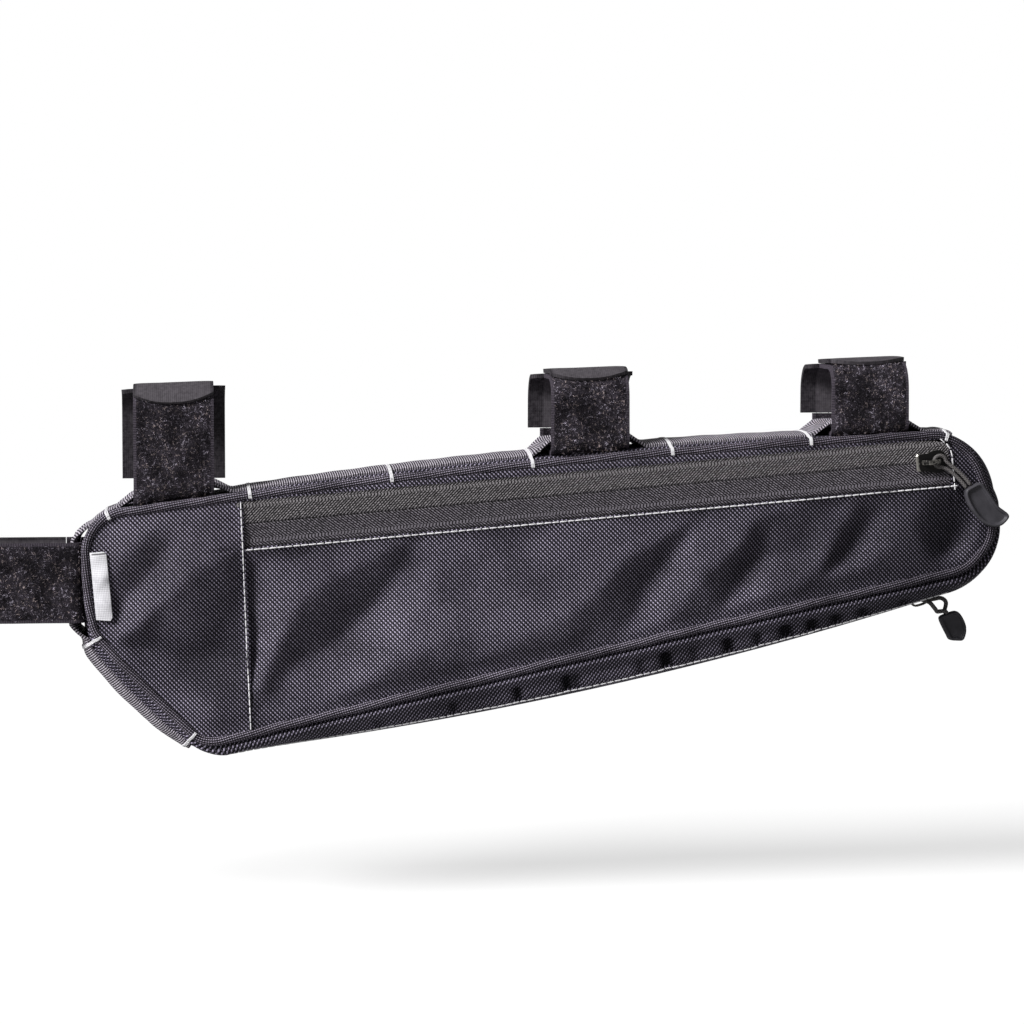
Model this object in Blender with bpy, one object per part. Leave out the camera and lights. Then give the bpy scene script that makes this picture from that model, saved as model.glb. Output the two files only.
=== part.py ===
"""Frame bag: a wedge-shaped zip bag that hangs from a bar by three hook-and-loop straps, with a
fourth strap at its front end, a long side zip and a second zip along its underside.

Metres, +Z up. X runs along the bag from front to rear, the side zip faces -Y. The origin lies on
the axis of the bar that the top straps close round, at the middle strap.
"""
import math

import bmesh
import bpy
from mathutils import Matrix, Vector

# Clearances
GAP = 0.0003              # between pieces that touch on the real bag
LAP_GAP = 0.0005          # between a fabric edge and the zip tape behind it

# Bag body
HALF_DEPTH = 0.025        # from the middle plane to the centre of either piping cord
PIPING_DIAMETER = 0.0045
WALL = 0.0016             # fabric with its thin padding
PANEL_CROWN = 0.0027      # how far the side panels swell past their seams
CROWN_REACH = 0.022       # width of the rim over which a panel swells
BINDING_WIDTH = 0.008     # tape over the raw seam edges inside
BINDING_THICKNESS = 0.0012

# Seam line of the side panels: x, z, corner radius, outward bow of the edge that follows
SEAM_FRONT_TOP = (-0.246, -0.047, 0.020, 0.001)
SEAM_FRONT_LOW = (-0.241, -0.1025, 0.016, 0.0005)
SEAM_BOTTOM_FRONT = (-0.1895, -0.1565, 0.017, -0.001)
SEAM_REAR_LOW = (0.2025, -0.071, 0.026, 0.0)
SEAM_REAR_TOP = (0.1805, -0.0085, 0.026, 0.004)

# Keel line, the outermost line of the gusset between the two side panels
KEEL_FRONT_TOP = (-0.2451, -0.0465, 0.019, 0.0008)
KEEL_FRONT_LOW = (-0.2455, -0.113, 0.012, 0.0012)
KEEL_BOTTOM_FRONT = (-0.1955, -0.1666, 0.050, 0.008)
KEEL_REAR_LOW = (0.2057, -0.082, 0.036, 0.0015)
KEEL_REAR_TOP = (0.1955, -0.006, 0.0325, 0.008)

TOP_ROUNDNESS = 2.0       # exponent of the gusset's cross-section, 2 is an ellipse
BOTTOM_ROUNDNESS = 8.0    # a higher one gives upright sides and a flat floor

# Side zip
SEAM_TOP_X = -0.1702      # upright seam in front of the zip, at its top and bottom ends
SEAM_LOW_X = -0.1660
SIDE_ZIP_FRONT_Z = -0.051         # height of the zip line where it meets the upright seam
SIDE_ZIP_SLOPE = math.radians(4.8)
SIDE_ZIP_REAR_X = 0.1725          # rear end of the zip opening in the panel
SIDE_ZIP_SHOWN = 0.012            # lower tape that shows beside the zip line
TAPE_HALF_WIDTH = 0.016
TAPE_THICKNESS = 0.001
TAPE_END_GAP = 0.0012             # from the upright seam, which the tapes meet at a slant
UNDER_TAPE_LAP = 0.002            # how far the underside tapes run on behind the fabric
SLIT = 0.0016                     # running slit between the tapes for the slider's neck
TOOTH_PITCH = 0.0025
TOOTH_DEPTH = 0.0013
TOOTH_THICKNESS = 0.002
COIL_WIDTH = 0.0026
TEETH_PER_BLOCK = 8

# Underside zip
UNDER_ZIP_SHOWN = 0.0135          # tape that shows on either side of the zip line
UNDER_SLIDER_X = 0.1562           # the slider's tail, zip closed

# Zip sliders
SLIDER_LENGTH = 0.0148
SLIDER_WIDTH = 0.0112
SLIDER_TAIL_WIDTH = 0.0086
SLIDER_PLATE = 0.0016
NECK_LENGTH = 0.0034
BRIDGE_LENGTH = 0.0096
BRIDGE_WIDTH = 0.0024
BRIDGE_HEIGHT = 0.0046
BRIDGE_BAR = 0.0011
SIDE_SLIDER_X = 0.1556            # the slider's tail, zip closed

# Zip pulls: a cord loop through the bridge and a moulded tab
CORD_DIAMETER = 0.0019
CORD_EYE = 0.0076                 # outer width of the eye that runs through the bridge
LEG_GAP = 0.0005                  # between the cord's two legs
SIDE_CORD_LENGTH = 0.0185         # from the eye's middle to the tab
SIDE_CORD_ANGLE = math.radians(-33)
SIDE_CORD_LIFT = math.radians(9)  # the legs rise clear of the fabric
SIDE_TAB_LENGTH = 0.026
SIDE_TAB_ANGLE = math.radians(-56)
UNDER_CORD_LENGTH = 0.0113
UNDER_CORD_ANGLE = math.radians(-18)
UNDER_TAB_LENGTH = 0.0152
UNDER_TAB_WIDTH = 0.0120
UNDER_TAB_OFFSET = 0.0016
UNDER_TAB_ANGLE = math.radians(-72)
SIDE_TAB_WIDTH = 0.0145
TAB_TIP = 0.62                    # width of a tab near its tip, as a share of its width
TAB_THICKNESS = 0.005
TAB_RIM = 0.002
TAB_RECESS = 0.0011

# Webbing chain sewn along the top, down the front and under the nose
WEBBING_WIDTH = 0.038
WEBBING_THICKNESS = 0.0015
TACK_PITCH = 0.068
TACKS = 9
WEBBING_TAIL = 0.004              # webbing past the last tack at either end
REAR_TACK_X = 0.1716
EDGE_CURL = 0.0024                # webbing edges drawn up where a strap runs under
CURL_RAMP = 0.009                 # webbing beside a strap that rises over it

# Straps
STRAP_WIDTH = 0.038
BASE_WIDTH = 0.050                # far part of each top strap
STRAP_THICKNESS = 0.0022
STRAP_HALF_DEPTH = 0.024          # outer half depth of the strap loops
STRAP_SHOULDER = 0.011            # bend of a loop on its upper side
STRAP_FOOT = 0.0025               # bend of a loop under the webbing
STRAP_FOLLOW = 0.8                # how far a strap's lower run takes on the gusset's round
LOOP_UPTURN = 0.009               # loop tape that turns up the far side
TOP_STRAP_X = (-0.2027, -0.0034, 0.1337)
TOP_STRAP_TAB_REACH = (math.radians(65), math.radians(46), math.radians(28))
TAB_TIP_ROUND = math.radians(20)  # how much less a tab's corners reach than its middle
BAR_LINE_Z = 0.0182               # underside of the loops over the bar, at the origin
BAR_LINE_SLOPE = math.radians(2.0)
FRONT_STRAP_Z = -0.0789
FRONT_STRAP_LENGTH = 0.072        # inner length of the front loop
FRONT_STRAP_TAB_REACH = math.radians(60)
SPLICE = 0.0075                   # where the loop tape ends past the middle of the upper run
TAB_ROOT = 0.0025                 # strap tab past that end

# Folded tag in the front seam
TAG_LENGTH = 0.0315
TAG_WIDTH = 0.0076
TAG_THICKNESS = 0.0012
TAG_TOP = 0.0178                  # down the front edge from the seam's front top corner

# Mesh steps
KEEL_STEPS = 60
CORNER_STEPS = 5
EDGE_STEPS = (3, 4, 10, 3, 9)
PIPING_SIDES = 6
SECTION_ANGLES = (0, 20, 42, 64, 90)
PANEL_GRID_X = 0.036
PANEL_GRID_Z = 0.024
PANEL_RINGS = (0.0025, 0.007)

PIPING_RADIUS = PIPING_DIAMETER / 2
GUSSET_EDGE = HALF_DEPTH - PIPING_RADIUS - GAP
PANEL_INSET = PIPING_RADIUS + GAP
PANEL_EDGE_Y = HALF_DEPTH + WALL / 2
PANEL_FLAT_Y = PANEL_EDGE_Y + PANEL_CROWN
TAPE_OUTER_Y = PANEL_FLAT_Y - WALL - LAP_GAP
BAR_WAY = Vector((math.cos(BAR_LINE_SLOPE), 0.0, math.sin(BAR_LINE_SLOPE)))

FABRIC = ("black_weave", (0.035, 0.033, 0.038), 0.75, 0.0)
PIPING = ("piping_weave", (0.045, 0.043, 0.048), 0.7, 0.0)
TAPE = ("zip_tape", (0.06, 0.058, 0.062), 0.7, 0.0)
COIL = ("zip_coil", (0.03, 0.03, 0.032), 0.4, 0.0)
METAL = ("slider_metal", (0.03, 0.03, 0.03), 0.35, 0.8)
CORD = ("pull_cord", (0.07, 0.07, 0.072), 0.8, 0.0)
RUBBER = ("pull_rubber", (0.10, 0.10, 0.105), 0.55, 0.0)
WEBBING = ("webbing", (0.05, 0.05, 0.053), 0.8, 0.0)
LOOP_TAPE = ("loop_tape", (0.03, 0.03, 0.033), 0.95, 0.0)
HOOK_TAPE = ("hook_tape", (0.07, 0.07, 0.073), 0.6, 0.0)
TAG_CLOTH = ("tag_cloth", (0.75, 0.75, 0.77), 0.8, 0.0)


def material(finish):
    name, colour, roughness, metallic = finish
    found = bpy.data.materials.get(name)
    if found:
        return found
    made = bpy.data.materials.new(name)
    made.use_nodes = True
    shader = made.node_tree.nodes["Principled BSDF"]
    shader.inputs["Base Color"].default_value = (*colour, 1.0)
    shader.inputs["Roughness"].default_value = roughness
    shader.inputs["Metallic"].default_value = metallic
    return made


def link(name, mesh, finish, origin=None):
    """Put a mesh in the scene, with its origin moved to a joint's axis where one is given."""
    item = bpy.data.objects.new(name, mesh)
    bpy.context.collection.objects.link(item)
    mesh.materials.append(material(finish))
    if origin is not None:
        mesh.transform(Matrix.Translation(-Vector(origin)))
        item.location = origin
    return item


def closed_mesh(name, points, faces):
    """A mesh from points and faces, with every face turned outwards."""
    shell = bmesh.new()
    verts = [shell.verts.new(p) for p in points]
    for face in faces:
        shell.faces.new([verts[i] for i in face])
    shell.normal_update()
    bmesh.ops.triangulate(shell, faces=[f for f in shell.faces if len(f.verts) > 3])
    bmesh.ops.recalc_face_normals(shell, faces=shell.faces[:])
    mesh = bpy.data.meshes.new(name)
    shell.to_mesh(mesh)
    shell.free()
    return mesh


def loft(name, rings, closed=False):
    """Join equal rings of points; an open run of rings gets a face at each end."""
    count = len(rings[0])
    points = [p for ring in rings for p in ring]
    faces = []
    spans = len(rings) if closed else len(rings) - 1
    for i in range(spans):
        a = i * count
        b = ((i + 1) % len(rings)) * count
        for j in range(count):
            k = (j + 1) % count
            faces.append((a + j, a + k, b + k, b + j))
    if not closed:
        faces.append(tuple(range(count)))
        faces.append(tuple(range(len(points) - count, len(points))))
    return closed_mesh(name, points, faces)


def union(name, meshes, finish, origin=None):
    """Join closed meshes that overlap into one body."""
    base = link(name, meshes[0], finish)
    for number, mesh in enumerate(meshes[1:]):
        tool = bpy.data.objects.new(f"{name}_tool_{number}", mesh)
        bpy.context.collection.objects.link(tool)
        tool.hide_render = True
        tool.display_type = "WIRE"
        join = base.modifiers.new(f"join_{number}", "BOOLEAN")
        join.operation = "UNION"
        join.solver = "EXACT"
        join.object = tool
    if origin is not None:
        settle(base, origin)
    return base


def settle(item, origin):
    """Apply the modifiers and move the object's origin to a joint's axis."""
    graph = bpy.context.evaluated_depsgraph_get()
    mesh = bpy.data.meshes.new_from_object(item.evaluated_get(graph))
    tools = [m.object for m in item.modifiers if m.type == "BOOLEAN"]
    item.modifiers.clear()
    item.data = mesh
    for tool in tools:
        bpy.data.objects.remove(tool)
    mesh.transform(Matrix.Translation(-Vector(origin)))
    item.location = origin


# Outlines


def edge_arc(start, end, bow):
    """Centre and radius of the arc through two points, whose middle bows out to the right."""
    chord = end - start
    half = chord.length / 2
    right = Vector((chord.y, -chord.x)).normalized()
    radius = (half * half + bow * bow) / (2 * abs(bow))
    side = 1 if bow > 0 else -1
    centre = (start + end) / 2 + right * (bow - side * radius)
    return centre, radius, side


def arc_stations(centre, radius, start, end, steps, side, inner_only=False):
    """Points with outward normals on the short arc from start to end."""
    a0 = math.atan2(start.y - centre.y, start.x - centre.x)
    a1 = math.atan2(end.y - centre.y, end.x - centre.x)
    sweep = (a1 - a0 + math.pi) % (2 * math.pi) - math.pi
    picks = range(1, steps) if inner_only else range(steps + 1)
    stations = []
    for k in picks:
        angle = a0 + sweep * k / steps
        out = Vector((math.cos(angle), math.sin(angle)))
        stations.append((centre + out * radius, out * side))
    return stations


def corner_arc(before, corner, after, radius):
    """Tangent points and centre of a corner's round."""
    a = (before - corner).normalized()
    b = (after - corner).normalized()
    half = a.angle(b) / 2
    reach = radius / math.tan(half)
    centre = corner + (a + b).normalized() * (radius / math.sin(half))
    return corner + a * reach, corner + b * reach, centre


def corner_rounds(corners):
    """First and last point and centre of the round at each corner."""
    places = [Vector(c[:2]) for c in corners]
    rounds = []
    for i, corner in enumerate(corners):
        after = places[(i + 1) % len(places)]
        rounds.append(corner_arc(places[i - 1], places[i], after, corner[2]))
    return rounds


def outline(corners, corner_steps, edge_steps):
    """Stations (point, outward normal) round five rounded corners, front top first."""
    rounds = corner_rounds(corners)
    stations = []
    for i, corner in enumerate(corners):
        start, end, centre = rounds[i]
        stations += arc_stations(centre, corner[2], start, end, corner_steps, 1)
        following = rounds[(i + 1) % len(rounds)][0]
        stations += edge_stations(end, following, corner[3], edge_steps[i])
    return stations


def edge_stations(start, end, bow, steps):
    if bow:
        centre, radius, side = edge_arc(start, end, bow)
        return arc_stations(centre, radius, start, end, steps, side, inner_only=True)
    out = Vector((end.y - start.y, start.x - end.x)).normalized()
    return [(start.lerp(end, k / steps), out) for k in range(1, steps)]


SEAM_CORNERS = (SEAM_FRONT_TOP, SEAM_FRONT_LOW, SEAM_BOTTOM_FRONT, SEAM_REAR_LOW, SEAM_REAR_TOP)
KEEL_CORNERS = (KEEL_FRONT_TOP, KEEL_FRONT_LOW, KEEL_BOTTOM_FRONT, KEEL_REAR_LOW, KEEL_REAR_TOP)
SEAM = outline(SEAM_CORNERS, CORNER_STEPS, EDGE_STEPS)

# Index of each corner's first and last station
CORNER_START = [sum(EDGE_STEPS[:i]) + CORNER_STEPS * i for i in range(5)]
CORNER_END = [start + CORNER_STEPS for start in CORNER_START]
STATIONS = len(SEAM)
BOTTOM_FIRST = CORNER_END[2] + 1          # the bottom strips run from here
BOTTOM_LAST = CORNER_START[3]


def seam_point(index, inset=0.0):
    point, out = SEAM[index % STATIONS]
    return point - out * inset


def keel_track():
    """Centre and radius of the underside's arc, which the lower zip follows."""
    rounds = corner_rounds(KEEL_CORNERS)
    centre, radius, side = edge_arc(rounds[2][1], rounds[3][0], KEEL_BOTTOM_FRONT[3])
    return centre, radius


def keel_heights():
    """Height of the keel line over the seam line, square to the seam, at every station."""
    keel = [point for point, out in outline(KEEL_CORNERS, KEEL_STEPS, (KEEL_STEPS,) * 5)]
    heights = []
    for point, out in SEAM:
        crossings = []
        for a, b in zip(keel[-1:] + keel[:-1], keel):
            before = out.x * (a.y - point.y) - out.y * (a.x - point.x)
            after = out.x * (b.y - point.y) - out.y * (b.x - point.x)
            if before * after <= 0 and before != after:
                crossings.append((a.lerp(b, before / (before - after)) - point).dot(out))
        heights.append(min(crossings, key=abs))
    return heights


HEIGHTS = keel_heights()


def cross(start, end, point):
    """Signed distance of a point to the left of the line from start to end."""
    line = (end - start).normalized()
    return line.x * (point.y - start.y) - line.y * (point.x - start.x)


def seam_distance(point):
    """Distance from a point inside the side panel to the nearest stretch of the seam."""
    best = 1.0
    for i in range(STATIONS):
        a = SEAM[i][0]
        b = SEAM[(i + 1) % STATIONS][0]
        run = b - a
        t = max(0.0, min(1.0, (point - a).dot(run) / run.length_squared))
        best = min(best, (point - a - run * t).length)
    return best


def offset_line(points, distance):
    """Shift an open 2-D line to its left by a distance."""
    moved = []
    for i, point in enumerate(points):
        before = points[max(i - 1, 0)]
        after = points[min(i + 1, len(points) - 1)]
        sides = []
        if i > 0:
            sides.append((point - before).normalized())
        if i < len(points) - 1:
            sides.append((after - point).normalized())
        run = sum(sides, Vector((0.0, 0.0))).normalized()
        stretch = 1 / max(run.dot(sides[0]), 0.5)
        moved.append(point + Vector((-run.y, run.x)) * distance * stretch)
    return moved


# Side panels


def panel_sheet(cuts):
    """Flat sheet inside the seam line, with inner rings, a grid and straight cuts."""
    sheet = bmesh.new()
    rings = []
    for depth in (0.0,) + PANEL_RINGS:
        inset = PANEL_INSET + depth
        ring = [seam_point(i, inset) for i in range(STATIONS)]
        rings.append([sheet.verts.new((p.x, 0.0, p.y)) for p in ring])
    for outer, inner in zip(rings, rings[1:]):
        for i in range(STATIONS):
            k = (i + 1) % STATIONS
            sheet.faces.new((outer[i], outer[k], inner[k], inner[i]))
    middle = sheet.faces.new(rings[-1])
    middle_cuts(sheet, middle)
    for start, end in cuts:
        split(sheet, sheet.faces[:], start, end)
    return sheet


def middle_cuts(sheet, middle):
    """Cut the sheet's middle by upright and level lines."""
    low_x, high_x = seam_range(0)
    low_z, high_z = seam_range(1)
    faces = [middle]
    for k in range(1, round((high_x - low_x) / PANEL_GRID_X)):
        x = low_x + k * PANEL_GRID_X
        faces = split(sheet, faces, Vector((x, 0)), Vector((x, 1)))
    for k in range(1, round((high_z - low_z) / PANEL_GRID_Z)):
        z = low_z + k * PANEL_GRID_Z
        faces = split(sheet, faces, Vector((0, z)), Vector((1, z)))


def seam_range(axis):
    values = [station[0][axis] for station in SEAM]
    return min(values), max(values)


def split(sheet, faces, start, end):
    """Cut faces along a line, and return the cut faces."""
    geometry = set(faces)
    for face in faces:
        geometry.update(face.edges)
        geometry.update(face.verts)
    line = end - start
    done = bmesh.ops.bisect_plane(sheet, geom=list(geometry), dist=1e-6,
                                  plane_co=(start.x, 0, start.y), plane_no=(line.y, 0, -line.x))
    return [g for g in done["geom"] if isinstance(g, bmesh.types.BMFace)]


def crown_y(point):
    """Distance from the middle plane to a panel's outer face."""
    depth = max(seam_distance(point) - PANEL_INSET, 0.0)
    share = min(depth / CROWN_REACH, 1.0)
    return PANEL_EDGE_Y + PANEL_CROWN * (1 - (1 - share) ** 2)


def panel(name, side, cuts, keep):
    """A side panel or a piece of one: the part of the sheet that is kept, crowned and given a wall."""
    sheet = panel_sheet(cuts)
    unwanted = []
    for face in sheet.faces:
        centre = face.calc_center_median()
        if not keep(Vector((centre.x, centre.z))):
            unwanted.append(face)
    bmesh.ops.delete(sheet, geom=unwanted, context="FACES")
    bmesh.ops.remove_doubles(sheet, verts=sheet.verts[:], dist=0.0001)
    sheet.normal_update()
    bmesh.ops.triangulate(sheet, faces=sheet.faces[:])
    sheet.verts.index_update()
    flat = [Vector((v.co.x, v.co.z)) for v in sheet.verts]
    outer = [(p.x, side * crown_y(p), p.y) for p in flat]
    inner = [(x, y - side * WALL, z) for x, y, z in outer]
    count = len(outer)
    faces = [tuple(v.index for v in f.verts) for f in sheet.faces]
    faces += [tuple(v + count for v in f) for f in faces]
    for edge in sheet.edges:
        if len(edge.link_faces) == 1:
            a, b = (v.index for v in edge.verts)
            faces.append((a, b, b + count, a + count))
    sheet.free()
    return link(name, closed_mesh(name, outer + inner, faces), FABRIC)


def upright_seam(shift):
    """The upright seam's line from its low to its top end, moved rearwards by a shift."""
    low_z, high_z = seam_range(1)
    start = Vector((SEAM_LOW_X + shift, low_z))
    end = Vector((SEAM_TOP_X + shift, high_z - 0.03))
    return start, end


def zip_window():
    """Lower edge and rear edge of the side zip's opening in the panel."""
    shown = SIDE_ZIP_SHOWN
    lower = (side_zip_point(-0.02, -shown), side_zip_point(0.5, -shown))
    end = side_zip_along(SIDE_ZIP_REAR_X)
    rear = (side_zip_point(end, -0.03), side_zip_point(end, 0.03))
    return lower, rear


def side_zip_along(x):
    """Distance along the side zip's line from the upright seam to a place by its X."""
    return (x - side_zip_point(0, 0).x) / math.cos(SIDE_ZIP_SLOPE)


def side_zip_point(along, up):
    """X and Z of a place on the side zip, from its front end at the upright seam."""
    share = (SIDE_ZIP_FRONT_Z - upright_seam(0)[0].y) / (upright_seam(0)[1].y - upright_seam(0)[0].y)
    front_x = SEAM_LOW_X + (SEAM_TOP_X - SEAM_LOW_X) * share
    c = math.cos(SIDE_ZIP_SLOPE)
    s = math.sin(SIDE_ZIP_SLOPE)
    return Vector((front_x + along * c - up * s, SIDE_ZIP_FRONT_Z + along * s + up * c))


def make_panels():
    front_cut = upright_seam(-GAP / 2)
    main_cut = upright_seam(GAP / 2)
    lower, rear = zip_window()
    panel("near_panel_front", -1, [front_cut], lambda p: cross(*front_cut, p) > 0)
    panel("near_panel_main", -1, [main_cut, lower, rear],
          lambda p: cross(*main_cut, p) < 0 and (cross(*lower, p) < 0 or cross(*rear, p) < 0))
    panel("far_panel", 1, [], lambda p: True)


# Piping, gusset and seam binding


def make_piping(name, side):
    rings = []
    for point, out in SEAM:
        ring = []
        for k in range(PIPING_SIDES):
            angle = 2 * math.pi * (k + 0.5) / PIPING_SIDES
            place = point + out * PIPING_RADIUS * math.cos(angle)
            y = side * HALF_DEPTH + PIPING_RADIUS * math.sin(angle)
            ring.append((place.x, y, place.y))
        rings.append(ring)
    link(name, loft(name, rings, closed=True), PIPING)


def roundness(index):
    """Exponent of the gusset's section: boxy along the bottom, easing off round its corners."""
    index %= STATIONS
    if CORNER_END[2] <= index <= CORNER_START[3]:
        return BOTTOM_ROUNDNESS
    if CORNER_START[2] < index < CORNER_END[2]:
        share = (index - CORNER_START[2]) / CORNER_STEPS
    elif CORNER_START[3] < index < CORNER_END[3]:
        share = (CORNER_END[3] - index) / CORNER_STEPS
    else:
        share = 0.0
    return TOP_ROUNDNESS + (BOTTOM_ROUNDNESS - TOP_ROUNDNESS) * share


def section_point(index, angle):
    """Distance from the middle plane, and depth share, on the gusset's section at an angle."""
    power = 2 / roundness(index)
    angle = math.radians(angle)
    return GUSSET_EDGE * abs(math.cos(angle)) ** power, abs(math.sin(angle)) ** power


def section_angle(index, y):
    """Angle at which the section reaches a distance from the middle plane."""
    return math.degrees(math.acos((y / GUSSET_EDGE) ** (roundness(index) / 2)))


def keel_height(index):
    """Height of the keel over the seam line at a station."""
    return HEIGHTS[index % STATIONS]


def keel_point(index):
    return seam_point(index, -keel_height(index))


def gusset_place(index, y, share, extra=0.0):
    """Place on the gusset at a station: a share of the way from seam to keel, plus some more."""
    place = seam_point(index, -keel_height(index) * share - extra)
    return Vector((place.x, y, place.y))


def section_line(index, signed_angles):
    """Outer face of the gusset at a station, as points of y and height over the seam line."""
    line = []
    for side, angle in signed_angles:
        y, share = section_point(index, angle)
        line.append(Vector((side * y, share * keel_height(index))))
    return line


def gusset_ring(index, signed_angles):
    """Closed ring of the gusset's wall at one station."""
    outer = section_line(index, signed_angles)
    ring = []
    for point in outer + offset_line(outer, -WALL)[::-1]:
        place = seam_point(index, -point.y)
        ring.append((place.x, point.x, place.y))
    return ring


def wall_underside(index, y):
    """Height over the seam line of the wall's inner face at a distance from the middle plane."""
    inner = offset_line(section_line(index, [(-1, angle) for angle in SECTION_ANGLES]), -WALL)
    for a, b in zip(inner, inner[1:]):
        if -b.x <= y:
            share = max(0.0, min(1.0, (y + a.x) / (a.x - b.x)))
            return a.y + (b.y - a.y) * share


def full_section():
    near = [(-1, a) for a in SECTION_ANGLES]
    far = [(1, a) for a in SECTION_ANGLES[-2::-1]]
    return near + far


def strip_section(index, side):
    """Section of a bottom strip, which stops beside the underside zip."""
    last = section_angle(index, UNDER_ZIP_SHOWN)
    angles = [(side, a) for a in SECTION_ANGLES if a < last] + [(side, last)]
    return angles if side < 0 else angles[::-1]


def gusset_run(name, first, last, section):
    """A piece of the gusset between two stations, shortened by half a gap at each end."""
    rings = [gusset_ring(index, section(index)) for index in range(first, last + 1)]
    draw_in(rings, GAP / 2)
    link(name, loft(name, rings), FABRIC)


def draw_in(rings, amount):
    """Move the end rings inwards along the run."""
    for end, inner in ((0, 1), (-1, -2)):
        moved = []
        for a, b in zip(rings[end], rings[inner]):
            run = (Vector(b) - Vector(a)).normalized()
            moved.append(tuple(Vector(a) + run * amount))
        rings[end] = moved


def make_gusset():
    rear_mid = CORNER_START[4] + CORNER_STEPS // 2
    front_mid = STATIONS + CORNER_STEPS // 2
    gusset_run("gusset_top", rear_mid, front_mid, lambda i: full_section())
    gusset_run("gusset_front", front_mid, STATIONS + BOTTOM_FIRST, lambda i: full_section())
    gusset_run("gusset_rear", BOTTOM_LAST, rear_mid, lambda i: full_section())
    gusset_run("gusset_bottom_near", BOTTOM_FIRST, BOTTOM_LAST, lambda i: strip_section(i, -1))
    gusset_run("gusset_bottom_far", BOTTOM_FIRST, BOTTOM_LAST, lambda i: strip_section(i, 1))


def make_binding(name, side):
    """Tape over the raw seam edges, lying beside the gusset's edge inside the bag."""
    outer = GUSSET_EDGE - WALL - GAP
    inner = outer - BINDING_WIDTH
    rings = []
    for index in range(STATIONS):
        top = max(0.0, GAP - wall_underside(index, outer))
        ring = []
        for y, depth in ((outer, 0.0), (outer, 1.0), (inner, 1.0), (inner, 0.0)):
            place = seam_point(index, top + depth * BINDING_THICKNESS)
            ring.append((place.x, side * y, place.y))
        rings.append(ring)
    link(name, loft(name, rings, closed=True), WEBBING)


# Zips, each in its own frame: along the zip, across it, and out from the tape's outer face


class SideZip:
    """The straight zip in the near panel; along starts at the upright seam."""

    def place(self, along, across, out):
        flat = side_zip_point(along, across)
        return Vector((flat.x, -TAPE_OUTER_Y - out, flat.y))

    def along_at(self, x):
        return side_zip_along(x)


class UnderZip:
    """The zip along the underside's arc; along starts at the slider's tail."""

    def __init__(self):
        self.centre, keel_radius = keel_track()
        self.radius = keel_radius - WALL - LAP_GAP
        self.start = -math.acos((UNDER_SLIDER_X - self.centre.x) / self.radius)

    def place(self, along, across, out):
        angle = self.start + along / self.radius
        reach = self.radius + out
        x = self.centre.x + reach * math.cos(angle)
        return Vector((x, across, self.centre.y + reach * math.sin(angle)))

    def along_at(self, x):
        return (-math.acos((x - self.centre.x) / self.radius) - self.start) * self.radius


def strip(name, frame, stops, across, out, finish):
    """A thin strip along a zip; across gives the places of its two edges at a stop."""
    rings = []
    for along in stops:
        low, high = across(along)
        ring = [(low, out[0]), (high, out[0]), (high, out[1]), (low, out[1])]
        rings.append([tuple(frame.place(along, t, n)) for t, n in ring])
    link(name, loft(name, rings), finish)


def steps_between(start, end, longest):
    count = max(1, math.ceil(abs(end - start) / longest))
    return [start + (end - start) * k / count for k in range(count + 1)]


def upper_tape_edge(along):
    """How far across the side zip's upper tape reaches before it meets the piping."""
    reach = SIDE_ZIP_SHOWN
    for _ in range(24):
        reach += seam_distance(side_zip_point(along, reach)) - PANEL_INSET
    return reach


def coil_half(name, frame, start, end, side):
    """Half of the coil: a toothed strip behind its tape, with its teeth towards the slit."""
    root = SLIT / 2 + TOOTH_DEPTH
    back = SLIT / 2 + COIL_WIDTH
    tip = SLIT / 2 + GAP / 2
    teeth = int((end - start) / TOOTH_PITCH)
    blocks = math.ceil(teeth / TEETH_PER_BLOCK)
    front = []
    for k in range(2 * teeth + 1):
        front.append((start + k * TOOTH_PITCH / 2, tip if k % 2 else root))
    rear = []
    for b in range(blocks + 1):
        rear.append((front[min(2 * b * TEETH_PER_BLOCK, 2 * teeth)][0], back))
    flat = front + rear
    points = []
    for out in (-TAPE_THICKNESS - GAP, -TAPE_THICKNESS - GAP - TOOTH_THICKNESS):
        points += [tuple(frame.place(s, side * t, out)) for s, t in flat]
    count = len(flat)
    faces = []
    for b in range(blocks):
        first = 2 * b * TEETH_PER_BLOCK
        last = min(first + 2 * TEETH_PER_BLOCK, 2 * teeth)
        block = list(range(first, last + 1)) + [len(front) + b + 1, len(front) + b]
        faces.append(tuple(block))
        faces.append(tuple(i + count for i in block))
    rim = list(range(len(front))) + list(range(count - 1, len(front) - 1, -1))
    for a, b in zip(rim, rim[1:] + rim[:1]):
        faces.append((a, b, b + count, a + count))
    link(name, closed_mesh(name, points, faces), COIL)


def make_side_zip():
    frame = SideZip()
    start = TAPE_END_GAP
    end = frame.along_at(SIDE_ZIP_REAR_X) - GAP
    stops = steps_between(start, end, 0.024)
    out = (0.0, -TAPE_THICKNESS)
    strip("side_zip_tape_upper", frame, stops, lambda s: (SLIT / 2, upper_tape_edge(s)), out, TAPE)
    strip("side_zip_tape_lower", frame, (start, end), lambda s: (-TAPE_HALF_WIDTH, -SLIT / 2), out, TAPE)
    coil_half("side_zip_coil_upper", frame, start, end, 1)
    coil_half("side_zip_coil_lower", frame, start, end, -1)
    return frame


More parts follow.
